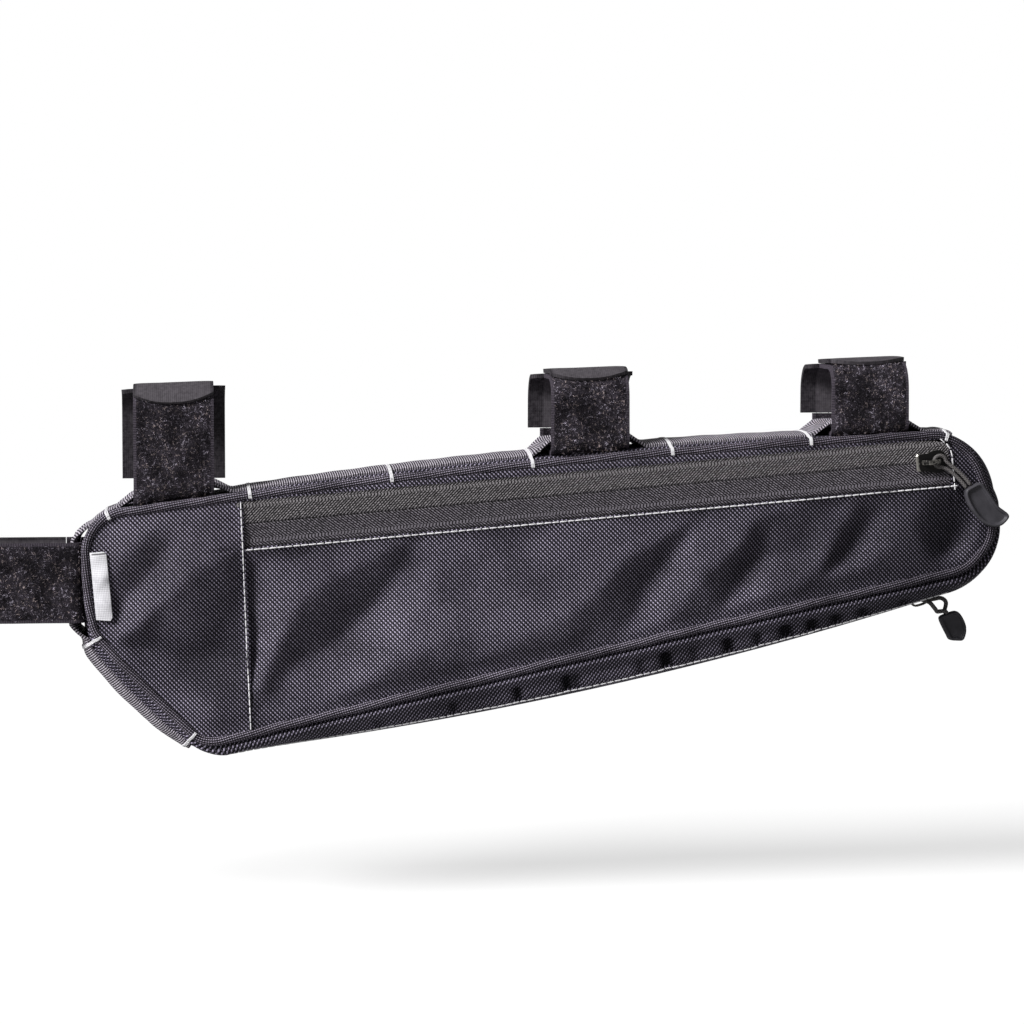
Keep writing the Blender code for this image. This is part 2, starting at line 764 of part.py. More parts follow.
def make_under_zip():
    frame = UnderZip()
    start = frame.along_at(keel_point(BOTTOM_FIRST).x)
    end = frame.along_at(keel_point(BOTTOM_LAST).x)
    stops = steps_between(start - UNDER_TAPE_LAP, end + UNDER_TAPE_LAP, 0.030)
    half = UNDER_ZIP_SHOWN + UNDER_TAPE_LAP
    out = (0.0, -TAPE_THICKNESS)
    strip("under_zip_tape_near", frame, stops, lambda s: (-half, -SLIT / 2), out, TAPE)
    strip("under_zip_tape_far", frame, stops, lambda s: (SLIT / 2, half), out, TAPE)
    coil_half("under_zip_coil_near", frame, start, end, -1)
    coil_half("under_zip_coil_far", frame, start, end, 1)
    return frame


def plate_outline():
    """Slider plate seen from outside: a narrow tail, wide shoulders and a blunt nose."""
    nose = SLIDER_WIDTH / 2
    tail = SLIDER_TAIL_WIDTH / 2
    length = SLIDER_LENGTH
    upper = [(0.0, tail * 0.82), (length * 0.05, tail), (length * 0.38, tail), (length * 0.58, nose * 0.97),
             (length * 0.8, nose), (length * 0.94, nose * 0.8), (length, nose * 0.45)]
    return upper + [(s, -t) for s, t in upper[::-1]]


def prism(name, frame, along, flat, out_low, out_high):
    """Extrude an outline that lies along and across a zip, from one height to another."""
    low = [tuple(frame.place(along + s, t, out_low)) for s, t in flat]
    high = [tuple(frame.place(along + s, t, out_high)) for s, t in flat]
    return loft(name, [low, high])


def bridge_mesh(name, frame, along, base):
    """The arch over the slider that the cord runs through."""
    half = BRIDGE_LENGTH / 2
    line = []
    for k in range(9):
        angle = math.pi * (1 - k / 8)
        reach = math.copysign(abs(math.cos(angle)) ** 0.6, math.cos(angle))
        line.append(Vector((half * reach, base + BRIDGE_HEIGHT * math.sin(angle) ** 0.8)))
    inner = offset_line(line, -BRIDGE_BAR)
    inner[0].y = line[0].y
    inner[-1].y = line[-1].y
    middle = along + SLIDER_LENGTH / 2
    rings = []
    for a, b in zip(line, inner):
        ring = []
        for point, side in ((a, -1), (a, 1), (b, 1), (b, -1)):
            ring.append(tuple(frame.place(middle + point.x, side * BRIDGE_WIDTH / 2, point.y)))
        rings.append(ring)
    return loft(name, rings)


def make_slider(name, frame, along, origin):
    """Zip slider: outer plate, neck in the slit, inner plate and bridge."""
    outer_low = GAP
    outer_high = GAP + SLIDER_PLATE
    inner_high = -TAPE_THICKNESS - 2 * GAP - TOOTH_THICKNESS
    inner_low = inner_high - SLIDER_PLATE
    neck = SLIT / 2 - GAP
    neck_end = SLIDER_LENGTH * 0.9
    neck_start = neck_end - NECK_LENGTH
    neck_flat = [(neck_start, -neck), (neck_start, neck), (neck_end, neck), (neck_end, -neck)]
    sunk = SLIDER_PLATE / 2
    meshes = [
        prism(name, frame, along, plate_outline(), outer_low, outer_high),
        prism(name, frame, along, plate_outline(), inner_low, inner_high),
        prism(name, frame, along, neck_flat, inner_low + sunk, outer_high - sunk),
        bridge_mesh(name, frame, along, outer_high - sunk / 2),
    ]
    union(name, meshes, METAL, origin)


# Zip pulls: the cord's eye runs under the bridge and round its rear post


CORD_RADIUS = CORD_DIAMETER / 2
EYE_RADIUS = (CORD_EYE - CORD_DIAMETER) / 2
CORD_NECK = EYE_RADIUS * 1.5
EYE_OFFSET = (BRIDGE_LENGTH - BRIDGE_BAR) / 2 - GAP
CORD_HEIGHT = GAP + SLIDER_PLATE + GAP + CORD_RADIUS


def way(angle):
    """Direction in the upright plane of the bag."""
    return Vector((math.cos(angle), 0.0, math.sin(angle)))


def rest_frame(origin, along, up):
    """Places given along a direction, across it and up from it, at an origin."""
    across = up.cross(along)

    def place(s, t, n):
        return origin + along * s + across * t + up * n
    return place


def hanging_frame(origin, angle, length, bend):
    """Places along a path that leaves straight, then turns downwards by an angle over the rest."""
    along = way(angle)
    down = Vector((0.0, 1.0, 0.0)).cross(along)
    radius = (length - CORD_NECK) / bend

    def place(s, t, n):
        turn = max(0.0, s - CORD_NECK) / radius
        run = min(s, CORD_NECK) + radius * math.sin(turn)
        drop = radius * (1 - math.cos(turn))
        out = down * math.cos(turn) - along * math.sin(turn)
        return origin + along * run + down * drop + out * n + Vector((0.0, -t, 0.0))
    return place


def leg_stations(length, bend):
    """Middle of the two legs and their sideways direction, from the eye to the tab."""
    if not bend:
        runs = [CORD_NECK + (length - CORD_NECK) * k / 3 for k in range(4)]
        return [(Vector((run, 0.0)), Vector((0.0, 1.0))) for run in runs]
    radius = (length - CORD_NECK) / bend
    stations = []
    for k in range(5):
        turn = bend * k / 4
        middle = Vector((CORD_NECK + radius * math.sin(turn), radius * (1 - math.cos(turn))))
        stations.append((middle, Vector((-math.sin(turn), math.cos(turn)))))
    return stations


def cord_line(length, bend):
    """Middle line of the cord: up one leg, round the eye and back down the other leg."""
    leg = (CORD_DIAMETER + LEG_GAP) / 2
    stations = leg_stations(length, bend)
    eye = []
    for k in range(11):
        angle = math.radians(40 + 28 * k)
        eye.append(Vector((math.cos(angle), math.sin(angle))) * EYE_RADIUS)
    upper = [middle + side * leg for middle, side in stations[::-1]]
    lower = [middle - side * leg for middle, side in stations]
    return upper + eye[:-1] + [Vector((eye[0].x, -eye[0].y))] + lower


def tube(name, line, radius, sides, place):
    """A round cord with closed ends through 2-D points, placed in space."""
    rings = []
    for i, point in enumerate(line):
        run = (line[min(i + 1, len(line) - 1)] - line[max(i - 1, 0)]).normalized()
        side = Vector((-run.y, run.x))
        ring = []
        for k in range(sides):
            angle = 2 * math.pi * (k + 0.5) / sides
            spot = point + side * radius * math.cos(angle)
            ring.append(tuple(place(spot.x, spot.y, radius * math.sin(angle))))
        rings.append(ring)
    return loft(name, rings)


def tab_outline(length, width):
    """Half widths of a pull tab along its length."""
    half = width / 2
    tip = half * TAB_TIP
    return [(0.0, half * 0.55), (length * 0.07, half * 0.82), (length * 0.2, half), (length * 0.5, half),
            (length * 0.7, half * 0.9), (length * 0.86, tip * 1.05), (length * 0.96, tip * 0.8),
            (length, tip * 0.35)]


def tab_mesh(name, length, width, place):
    """Moulded pull tab: a rounded body with a raised rim round a recessed face on each side."""
    half = TAB_THICKNESS / 2
    flat = tab_outline(length, width)
    rim = [Vector((s, w)) for s, w in flat] + [Vector((s, -w)) for s, w in flat[::-1]]
    centre = Vector((length * 0.45, 0.0))
    crest = draw_towards(rim, centre, TAB_RIM / 2)
    inner = draw_towards(rim, centre, TAB_RIM)
    layers = [(inner, -half + TAB_RECESS), (crest, -half), (rim, -half * 0.55), (rim, half * 0.55),
              (crest, half), (inner, half - TAB_RECESS)]
    return loft(name, [[tuple(place(p.x, p.y, height)) for p in line] for line, height in layers])


def draw_towards(line, centre, amount):
    """Move points towards a centre by a length."""
    return [p + (centre - p).normalized() * amount for p in line]


def make_side_pull(frame):
    """Cord and tab of the side zip, which lie flat along the bag's side."""
    tail = frame.along_at(SIDE_SLIDER_X)
    pivot = frame.place(tail + SLIDER_LENGTH / 2 + EYE_OFFSET, 0.0, CORD_HEIGHT)
    up = Vector((0.0, -1.0, 0.0))
    flat = rest_frame(pivot, way(SIDE_CORD_ANGLE), up)
    rise = math.tan(SIDE_CORD_LIFT)

    def place(s, t, n):
        return flat(s, t, n + max(0.0, s - EYE_RADIUS) * rise)
    bend = SIDE_TAB_ANGLE - SIDE_CORD_ANGLE
    line = cord_line(SIDE_CORD_LENGTH, bend)
    link("side_zip_pull_cord", tube("side_zip_pull_cord", line, CORD_RADIUS, 6, place), CORD, pivot)
    end = leg_stations(SIDE_CORD_LENGTH, bend)[-1][0]
    head = place(end.x, end.y, 0.0) + way(SIDE_TAB_ANGLE) * GAP
    hinge = head + up * (CORD_RADIUS + GAP)
    tab_place = rest_frame(head, way(SIDE_TAB_ANGLE), up)
    tab = tab_mesh("side_zip_pull_tab", SIDE_TAB_LENGTH, SIDE_TAB_WIDTH, tab_place)
    link("side_zip_pull_tab", tab, RUBBER, hinge)


def make_under_pull(frame):
    """Cord and tab of the underside zip, which hang down from the slider's bridge."""
    pivot = frame.place(SLIDER_LENGTH / 2 + EYE_OFFSET - EYE_RADIUS, 0.0, CORD_HEIGHT)
    eye = pivot + way(UNDER_CORD_ANGLE) * EYE_RADIUS
    place = hanging_frame(eye, UNDER_CORD_ANGLE, UNDER_CORD_LENGTH, UNDER_CORD_ANGLE - UNDER_TAB_ANGLE)
    line = cord_line(UNDER_CORD_LENGTH, 0.0)
    link("under_zip_pull_cord", tube("under_zip_pull_cord", line, CORD_RADIUS, 6, place), CORD, pivot)
    head = place(UNDER_CORD_LENGTH, 0.0, 0.0) + way(UNDER_TAB_ANGLE) * GAP
    hinge = head + Vector((0.0, -CORD_DIAMETER - LEG_GAP / 2 - GAP, 0.0))
    side = way(UNDER_TAB_ANGLE + math.pi / 2)
    tab_place = rest_frame(head + side * UNDER_TAB_OFFSET, way(UNDER_TAB_ANGLE), Vector((0.0, -1.0, 0.0)))
    tab = tab_mesh("under_zip_pull_tab", UNDER_TAB_LENGTH, UNDER_TAB_WIDTH, tab_place)
    link("under_zip_pull_tab", tab, RUBBER, hinge)


# Webbing chain


class Track:
    """The gusset's middle line from its rear top corner over the top and down under the nose."""

    def __init__(self):
        self.order = list(range(CORNER_START[4], STATIONS)) + list(range(CORNER_END[2] + 1))
        self.points = [keel_point(i) for i in self.order]
        self.lengths = [0.0]
        for a, b in zip(self.points, self.points[1:]):
            self.lengths.append(self.lengths[-1] + (b - a).length)

    def locate(self, distance):
        """Stretch of the line at a distance, and the share of it that is passed."""
        last = len(self.points) - 2
        i = 0
        while i < last and distance > self.lengths[i + 1]:
            i += 1
        return i, (distance - self.lengths[i]) / (self.lengths[i + 1] - self.lengths[i])

    def where(self, axis, value):
        """First distance at which the line's X (0) or Z (1) falls to a value."""
        for i in range(len(self.points) - 1):
            a = self.points[i][axis]
            b = self.points[i + 1][axis]
            if a >= value > b:
                return self.lengths[i] + (self.lengths[i + 1] - self.lengths[i]) * (a - value) / (a - b)
        raise ValueError(f"the gusset's line has no {value}")

    def place(self, distance, y, extra):
        """Place over the gusset's outer face, raised by some more along its outward direction."""
        i, share = self.locate(distance)
        ends = []
        for index in self.order[i:i + 2]:
            ends.append(gusset_place(index, y, face_share(index, y), extra))
        return ends[0].lerp(ends[1], share)

    def drop(self, distance, y):
        """How far the gusset's face lies below its middle line at a distance from the middle plane."""
        i, share = self.locate(distance)
        drops = [keel_height(index) * (1 - face_share(index, y)) for index in self.order[i:i + 2]]
        return drops[0] + (drops[1] - drops[0]) * share


def face_share(index, y):
    """Share of the way from seam to keel at a distance from the middle plane."""
    power = roundness(index)
    return (1 - (abs(y) / GUSSET_EDGE) ** power) ** (1 / power)


def strap_zones(track):
    """Stretches of the track, as distances, that lie under the four straps."""
    zones = []
    for x in TOP_STRAP_X:
        zones.append((track.where(0, x + STRAP_WIDTH / 2), track.where(0, x - STRAP_WIDTH / 2)))
    top = FRONT_STRAP_Z + STRAP_WIDTH / 2
    zones.append((track.where(1, top), track.where(1, top - STRAP_WIDTH)))
    return zones


def strap_share(distance, zones):
    """1 where a strap runs under the webbing, falling to 0 beside it."""
    best = 0.0
    for first, last in zones:
        away = max(first - distance, distance - last, 0.0) - GAP
        best = max(best, min(1.0, 1 - away / CURL_RAMP))
    return best


def webbing_stops(track, zones):
    start = track.where(0, REAR_TACK_X)
    end = start + TACK_PITCH * (TACKS - 1) + WEBBING_TAIL
    start -= WEBBING_TAIL
    stops = [start, end]
    for first, last in zones:
        stops += [first - GAP - CURL_RAMP, first - GAP, last + GAP, last + GAP + CURL_RAMP]
    for length in track.lengths:
        if start < length < end and min(abs(length - stop) for stop in stops) > 0.0015:
            stops.append(length)
    return sorted(stops)


def make_webbing(track):
    """The chain of webbing loops: it hugs the gusset, and rises over each strap."""
    zones = strap_zones(track)
    half = WEBBING_WIDTH / 2
    across = [half * k for k in (-1.0, -0.79, -0.53, 0.0, 0.53, 0.79, 1.0)]
    rings = []
    for stop in webbing_stops(track, zones):
        share = strap_share(stop, zones)
        low = []
        high = []
        for y in across:
            curl = EDGE_CURL * (abs(y) / half) ** 4
            lift = GAP + share * (STRAP_THICKNESS + GAP + track.drop(stop, y) + curl)
            low.append(tuple(track.place(stop, y, lift)))
            high.append(tuple(track.place(stop, y, lift + WEBBING_THICKNESS)))
        rings.append(high + low[::-1])
    link("webbing_chain", loft("webbing_chain", rings), WEBBING)


# Straps: w runs along the tape's width, y across the bag, u away from the gusset


class TopStrap:
    """Frame of a strap that stands on the bag's top."""

    def __init__(self, track, x):
        self.track = track
        self.middle = x

    def low(self, w):
        distance = self.track.where(0, w)
        return self.track.place(distance, 0.0, 0.0).z, lambda y: self.track.drop(distance, y)

    def high(self, w):
        return BAR_LINE_Z + w * math.tan(BAR_LINE_SLOPE)

    def place(self, w, y, u):
        return Vector((w, y, u))


class FrontStrap:
    """Frame of the strap that reaches forward from the bag's front edge."""

    def __init__(self, track, z):
        self.track = track
        self.middle = z

    def low(self, w):
        distance = self.track.where(1, w)
        return -self.track.place(distance, 0.0, 0.0).x, lambda y: self.track.drop(distance, y)

    def high(self, w):
        return self.low(self.middle)[0] + FRONT_STRAP_LENGTH

    def place(self, w, y, u):
        return Vector((-u, y, w))


def arc(centre, radius, start, end, steps):
    """Points on an arc between two angles in degrees."""
    points = []
    for k in range(steps + 1):
        angle = math.radians(start + (end - start) * k / steps)
        points.append(centre + Vector((math.cos(angle), math.sin(angle))) * radius)
    return points


SHOULDER_Y = STRAP_HALF_DEPTH - STRAP_THICKNESS - STRAP_SHOULDER
FOOT_Y = STRAP_HALF_DEPTH - STRAP_THICKNESS - STRAP_FOOT


def loop_line(frame, w):
    """Middle line of the loop tape's section: over the near shoulder, down and under the webbing."""
    half = STRAP_THICKNESS / 2
    low, drop = frame.low(w)
    high = frame.high(w)

    def run(y):
        return low + GAP + half - STRAP_FOLLOW * drop(y)
    foot = run(FOOT_Y) + half + STRAP_FOOT
    line = [Vector((SPLICE, high + half))]
    line += arc(Vector((-SHOULDER_Y, high - STRAP_SHOULDER)), STRAP_SHOULDER + half, 90, 180, 5)
    line += arc(Vector((-FOOT_Y, foot)), STRAP_FOOT + half, 180, 270, 3)
    line += [Vector((y, run(y))) for y in (-FOOT_Y / 2, 0.0, FOOT_Y / 2)]
    line += arc(Vector((FOOT_Y, foot)), STRAP_FOOT + half, 270, 360, 3)
    return line + [Vector((STRAP_HALF_DEPTH - half, loop_end(frame)))]


def loop_end(frame):
    """Level at which the loop tape ends on the far side and the far part begins."""
    return frame.low(frame.middle)[0] + LOOP_UPTURN


def base_line(frame, w):
    """Middle line of the far part's section: up the far side and over its shoulder."""
    half = STRAP_THICKNESS / 2
    high = frame.high(w)
    line = [Vector((STRAP_HALF_DEPTH - half, loop_end(frame) + GAP))]
    line += arc(Vector((SHOULDER_Y, high - STRAP_SHOULDER)), STRAP_SHOULDER + half, 0, 90, 5)
    return line + [Vector((SPLICE + GAP, high + half))]


def tab_line(frame, w, reach):
    """Middle line of the hook tab's section: along the upper run and over the near shoulder."""
    rise = STRAP_THICKNESS * 1.5 + GAP
    high = frame.high(w)
    centre = Vector((-SHOULDER_Y, high - STRAP_SHOULDER))
    line = [Vector((SPLICE + TAB_ROOT, high + rise))]
    return line + arc(centre, STRAP_SHOULDER + rise, 90, 90 + math.degrees(reach), 6)


def band(name, frame, widths, line_at, finish, origin=None):
    """Sweep a tape's section over its width."""
    rings = []
    for w in widths:
        line = line_at(w)
        outer = offset_line(line, STRAP_THICKNESS / 2)
        inner = offset_line(line, -STRAP_THICKNESS / 2)
        rings.append([tuple(frame.place(w, p.x, p.y)) for p in outer + inner[::-1]])
    link(name, loft(name, rings), finish, origin)


def make_strap(name, frame, base_width, reach):
    """One strap: its loop tape, its far part and the hook tab that closes it."""
    middle = frame.middle
    half = STRAP_WIDTH / 2
    widths = [middle + half * k for k in (-1.0, -0.5, 0.0, 0.5, 1.0)]
    band(f"{name}_loop", frame, widths, lambda w: loop_line(frame, w), LOOP_TAPE)
    edges = (middle - base_width / 2, middle + base_width / 2)
    band(f"{name}_base", frame, edges, lambda w: base_line(frame, w), HOOK_TAPE)
    widths = [middle + half * k for k in (-1.0, -0.85, -0.55, 0.0, 0.55, 0.85, 1.0)]

    def tab_at(w):
        away = abs(w - middle) / half
        return tab_line(frame, w, reach - TAB_TIP_ROUND * away ** 2.5)
    hinge = frame.place(middle, SPLICE + TAB_ROOT, frame.high(middle) + STRAP_THICKNESS + GAP)
    band(f"{name}_tab", frame, widths, tab_at, HOOK_TAPE, hinge)


def make_straps(track):
    names = ("front", "middle", "rear")
    for name, x, reach in zip(names, TOP_STRAP_X, TOP_STRAP_TAB_REACH):
        make_strap(f"top_strap_{name}", TopStrap(track, x), BASE_WIDTH, reach)
    make_strap("head_strap", FrontStrap(track, FRONT_STRAP_Z), STRAP_WIDTH, FRONT_STRAP_TAB_REACH)


def make_tag():
    """The folded tag sewn into the front seam, lying on the front panel."""
    top = Vector(SEAM_FRONT_TOP[:2])
    down = (Vector(SEAM_FRONT_LOW[:2]) - top).normalized()
    inward = Vector((-down.y, down.x))
    rings = []
    for k in range(5):
        spine = top + down * (TAG_TOP + TAG_LENGTH * k / 4)
        low = []
        high = []
        for j in range(4):
            spot = spine + inward * (PIPING_RADIUS + TAG_WIDTH * j / 3)
            y = -crown_y(spot) - GAP
            low.append((spot.x, y, spot.y))
            high.append((spot.x, y - TAG_THICKNESS, spot.y))
        rings.append(high + low[::-1])
    link("seam_tag", loft("seam_tag", rings), TAG_CLOTH)


def main():
    for item in list(bpy.data.objects):
        bpy.data.objects.remove(item)
    make_panels()
    make_piping("near_piping", -1)
    make_piping("far_piping", 1)
    make_gusset()
    make_binding("seam_binding_near", -1)
    make_binding("seam_binding_far", 1)
    side = make_side_zip()
    tail = side.along_at(SIDE_SLIDER_X)
    make_slider("side_zip_slider", side, tail, side.place(tail + SLIDER_LENGTH / 2, 0.0, 0.0))
    make_side_pull(side)
    under = make_under_zip()
    turn = Vector((under.centre.x, 0.0, under.centre.y))
    make_slider("under_zip_slider", under, 0.0, turn)
    make_under_pull(under)
    track = Track()
    make_webbing(track)
    make_straps(track)
    make_tag()


main()
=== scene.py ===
"""The frame bag as it looks: folded cloth panels, corded seams, zips with pulls, straps and webbing.
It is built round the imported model, in the same metres and axes."""
import math
from contextlib import contextmanager

import bmesh
import bpy
import numpy as np
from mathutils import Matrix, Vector, geometry


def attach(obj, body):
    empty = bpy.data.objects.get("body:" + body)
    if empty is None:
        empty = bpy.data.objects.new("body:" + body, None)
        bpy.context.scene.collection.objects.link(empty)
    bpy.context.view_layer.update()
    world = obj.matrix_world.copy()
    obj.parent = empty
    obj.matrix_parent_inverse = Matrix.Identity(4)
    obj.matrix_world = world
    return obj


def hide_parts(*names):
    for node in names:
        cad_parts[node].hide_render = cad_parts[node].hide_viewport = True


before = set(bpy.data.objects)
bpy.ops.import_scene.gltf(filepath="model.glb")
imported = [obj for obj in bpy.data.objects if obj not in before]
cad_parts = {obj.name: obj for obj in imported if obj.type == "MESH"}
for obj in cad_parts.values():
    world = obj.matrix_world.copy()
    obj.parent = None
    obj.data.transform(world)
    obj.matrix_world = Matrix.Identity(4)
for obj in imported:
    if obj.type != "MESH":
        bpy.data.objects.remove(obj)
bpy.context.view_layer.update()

MM = 0.001
TURN = 2 * math.pi
FLOOR_Z = -0.235

# Bag body, repeated from the part's source
HALF_DEPTH = 0.025
PIPING_RADIUS = 0.00225
GAP = 0.0003
WALL = 0.0016
PANEL_CROWN = 0.0027
CROWN_REACH = 0.022
GUSSET_EDGE = HALF_DEPTH - PIPING_RADIUS - GAP
PANEL_INSET = PIPING_RADIUS + GAP
PANEL_EDGE_Y = HALF_DEPTH + WALL / 2
UNDER_PIPING = 1.1 * MM
HEM_RISE = 0.35 * MM
FOLD_FADE = 0.008
SEWN_FADE = 0.006
NEAR_SPACING = 1.9 * MM
FAR_SPACING = 2.3 * MM
BAG_MIDDLE = (-0.03, 0.0, -0.08)
TAPE_Y = 0.0264
SEAM_CORNERS = ((-0.246, -0.047, 0.020, 0.001), (-0.241, -0.1025, 0.016, 0.0005),
                (-0.1895, -0.1565, 0.017, -0.001), (0.2025, -0.071, 0.026, 0.0),
                (0.1805, -0.0085, 0.026, 0.004))
KEEL_CORNERS = ((-0.2451, -0.0465, 0.019, 0.0008), (-0.2455, -0.113, 0.012, 0.0012),
                (-0.1955, -0.1666, 0.050, 0.008), (0.2057, -0.082, 0.036, 0.0015),
                (0.1955, -0.006, 0.0325, 0.008))
TOP_ROUNDNESS = 2.0
BOTTOM_ROUNDNESS = 5.0

# Zips
SIDE_ZIP_FRONT = (-0.16977, -0.051)
SIDE_ZIP_SLOPE = math.radians(4.8)
SIDE_ZIP_REAR_X = 0.1725
ZIP_SHOWN = 0.012
ZIP_UPPER_SHOWN = 10.7 * MM
UNDER_ZIP_SHOWN = 0.0135
UNDER_ZIP_DEPTH = 0.0005
UNDER_ZIP_ENDS = (-0.1425, 0.1735)
COIL_ACROSS = 1.75 * MM
COIL_DEPTH = 2.3 * MM
SIDE_SLIDER_X = 0.1556
UNDER_SLIDER_X = 0.1562
SLIDER_LENGTH = 0.0148
SEAM_LINE = ((-0.1660, -0.1569), (-0.1702, -0.0385))

# Webbing and straps
WEBBING_HALF = 0.019
WEBBING_CLIMB = 0.009
WEBBING_CURL = 2.4 * MM
TACK_PITCH = 0.068
TACKS = 9
REAR_TACK_X = 0.1716
STRAP_WIDTH = 0.038
STRAP_THICKNESS = 0.0022
STRAP_HALF_DEPTH = 0.024
STRAP_SHOULDER = 0.011
STRAP_FOOT = 0.0025
TOP_STRAP_X = {"front": -0.2027, "middle": -0.0034, "rear": 0.1337}
TOP_TAB_REACH = {"front": 65, "middle": 46, "rear": 28}
HEAD_TAB_REACH = 60
BASE_WIDTH = 0.050
BAR_LINE_Z = 0.0182
BAR_SLOPE = math.radians(2.0)
HEAD_STRAP_Z = -0.0789
HEAD_STRAP_LENGTH = 0.072
SPLICE = 0.0075
FAR_JOIN = 0.009
NAP_HALF = 17.6 * MM
NAP_DENSITY = 1200000.0

# Tag in the front seam
TAG_TOP = 0.0176
TAG_LENGTH = 0.0320
TAG_WIDTH = 0.0078

# Thickness of the sheets, and of the threads
CLOTH = 1.3 * MM
ZIP_TAPE = 0.85 * MM
WEBBING = 1.45 * MM
TAG = 1.0 * MM
THREAD_RADIUS = 0.36 * MM
TACK_THREAD_RADIUS = 0.30 * MM


# Shader maths


def maths(operation, swapped=False):
    """Method of Value that adds one maths node."""
    def method(self, *others):
        values = (*others, self) if swapped else (self, *others)
        return self.net.node("ShaderNodeMath", {"operation": operation}, values)
    return method


class Value:
    """A node socket that can stand in a sum."""

    def __init__(self, net, socket):
        self.net = net
        self.socket = socket

    __add__ = __radd__ = maths("ADD")
    __mul__ = __rmul__ = maths("MULTIPLY")
    __sub__ = maths("SUBTRACT")
    __rsub__ = maths("SUBTRACT", swapped=True)
    __pow__ = maths("POWER")
    __gt__ = maths("GREATER_THAN")
    sine = maths("SINE")
    absolute = maths("ABSOLUTE")
    fraction = maths("FRACT")
    floor = maths("FLOOR")
    most = maths("MAXIMUM")
    least = maths("MINIMUM")

    def axis(self, number):
        """One coordinate of a place."""
        return self.net.node("ShaderNodeSeparateXYZ", {}, (self,), number)

    def smooth(self, low, high):
        """0 below low, 1 above high, with a soft step between."""
        return self.net.node("MapRange", {"interpolation_type": "SMOOTHSTEP"},
                             {"Value": self, "From Min": low, "From Max": high})

    def line(self, place, half):
        """1 on a value, falling to 0 at a distance from it."""
        return 1 - (self - place).absolute().smooth(0.0, half)

    def ribs(self, pitch, shift=0.0):
        """Even ribs between 0 and 1."""
        return (self * (TURN / pitch) + shift).sine() * 0.5 + 0.5


class Net:
    """One node tree, shader or geometry, that nodes are added to."""

    def __init__(self, tree, prefix="ShaderNode"):
        self.tree = tree
        self.prefix = prefix

    def node(self, kind, settings=None, inputs=(), output=0):
        whole = kind.startswith(("FunctionNode", "ShaderNode"))
        made = self.tree.nodes.new(kind if whole else self.prefix + kind)
        for key, value in (settings or {}).items():
            setattr(made, key, value)
        pairs = inputs.items() if isinstance(inputs, dict) else enumerate(inputs)
        for key, value in pairs:
            if isinstance(value, Value):
                self.tree.links.new(value.socket, made.inputs[key])
            else:
                made.inputs[key].default_value = value
        return Value(self, made.outputs[output])

    def mix(self, share, low, high):
        """Colour between two colours."""
        low, high = ((*colour, 1.0) if isinstance(colour, tuple) else colour for colour in (low, high))
        return self.node("ShaderNodeMix", {"data_type": "RGBA"}, {0: share, 6: low, 7: high}, 2)


class Cloth:
    """A material with the places that its patterns are drawn on."""

    def __init__(self, name, roughness, specular, metallic=0.0):
        self.material = bpy.data.materials.new(name)
        self.material.use_nodes = True
        self.net = Net(self.material.node_tree)
        self.shader = self.net.tree.nodes["Principled BSDF"]
        for label, value in (("Roughness", roughness), ("Metallic", metallic), ("Specular IOR Level", specular)):
            self.shader.inputs[label].default_value = value
        self.object = self.net.node("TexCoord", output="Object")
        flat = self.net.node("TexCoord", output="UV")
        self.u = flat.axis(0)
        self.v = flat.axis(1)

    def noise(self, scale, detail=2.0, roughness=0.5):
        return self.net.node("TexNoise", {}, {"Vector": self.object, "Scale": scale, "Detail": detail,
                                              "Roughness": roughness})

    def set(self, socket, value):
        self.net.tree.links.new(value.socket, self.shader.inputs[socket])

    def finish(self, share, dark, light, height, distance):
        """Set the colour and the relief, and hand the material back."""
        self.set("Base Color", self.net.mix(share, dark, light))
        self.set("Normal", self.net.node("Bump", {}, {"Height": height, "Distance": distance, "Strength": 1.0}))
        return self.material


def weave(cloth, cell, skew):
    """Plain weave: height of the crowns, which set of threads lies on top, and the lean of their rows."""
    u = cloth.u * (1 / cell)
    v = cloth.v * (1 / cell)
    if skew:
        u, v = u + v * skew, v - u * skew
    across = (u.fraction() - 0.5) * 2
    along = (v.fraction() - 0.5) * 2
    over = ((u.floor() + v.floor()) * 0.5).fraction() > 0.25
    warp = (1 - across * across) * (1 - along * along * 0.6)
    weft = (1 - along * along) * (1 - across * across * 0.6)
    lean = ((u + v) * math.pi + math.pi / 2).sine() * 0.5 + 0.5
    return over * warp + (1 - over) * weft, over, lean


def oxford(name, dark, light, cell, skew=0.0):
    """Coarse nylon weave: dark threads with painted sheen on their crowns, and painted shade where the mesh marks it
    and towards the rear end.
    """
    cloth = Cloth(name, 0.45, 0.08)
    crown, over, lean = weave(cloth, cell, skew)
    patch = cloth.noise(34.0, 3.0).smooth(0.30, 0.72)
    fine = cloth.noise(900.0, 1.0)
    # Painted shade: the cloth's colour darkens towards the rear end.
    rear_shade = 1 - cloth.object.axis(0).smooth(0.0, 0.20) * 0.6
    # The crowns' light tone is painted sheen: glints on the thread crowns, set in the base colour.
    grain = crown ** 3.0 * (over * 0.81 + 0.14) + lean ** 3.0 * 0.28
    # Painted shade stored on the mesh darkens the colour.
    hollow = cloth.net.node("Attribute", {"attribute_name": "hollow"}, {}, 2)
    share = (grain * 1.25 - 0.05).most(0.0) * (fine * 1.3 + 0.30) * (patch * 0.55 + 0.62) * rear_shade * (1 - hollow)
    return cloth.finish(share.least(1.0), dark, light, crown + fine * 0.2 + lean * 0.2, 0.22 * MM)


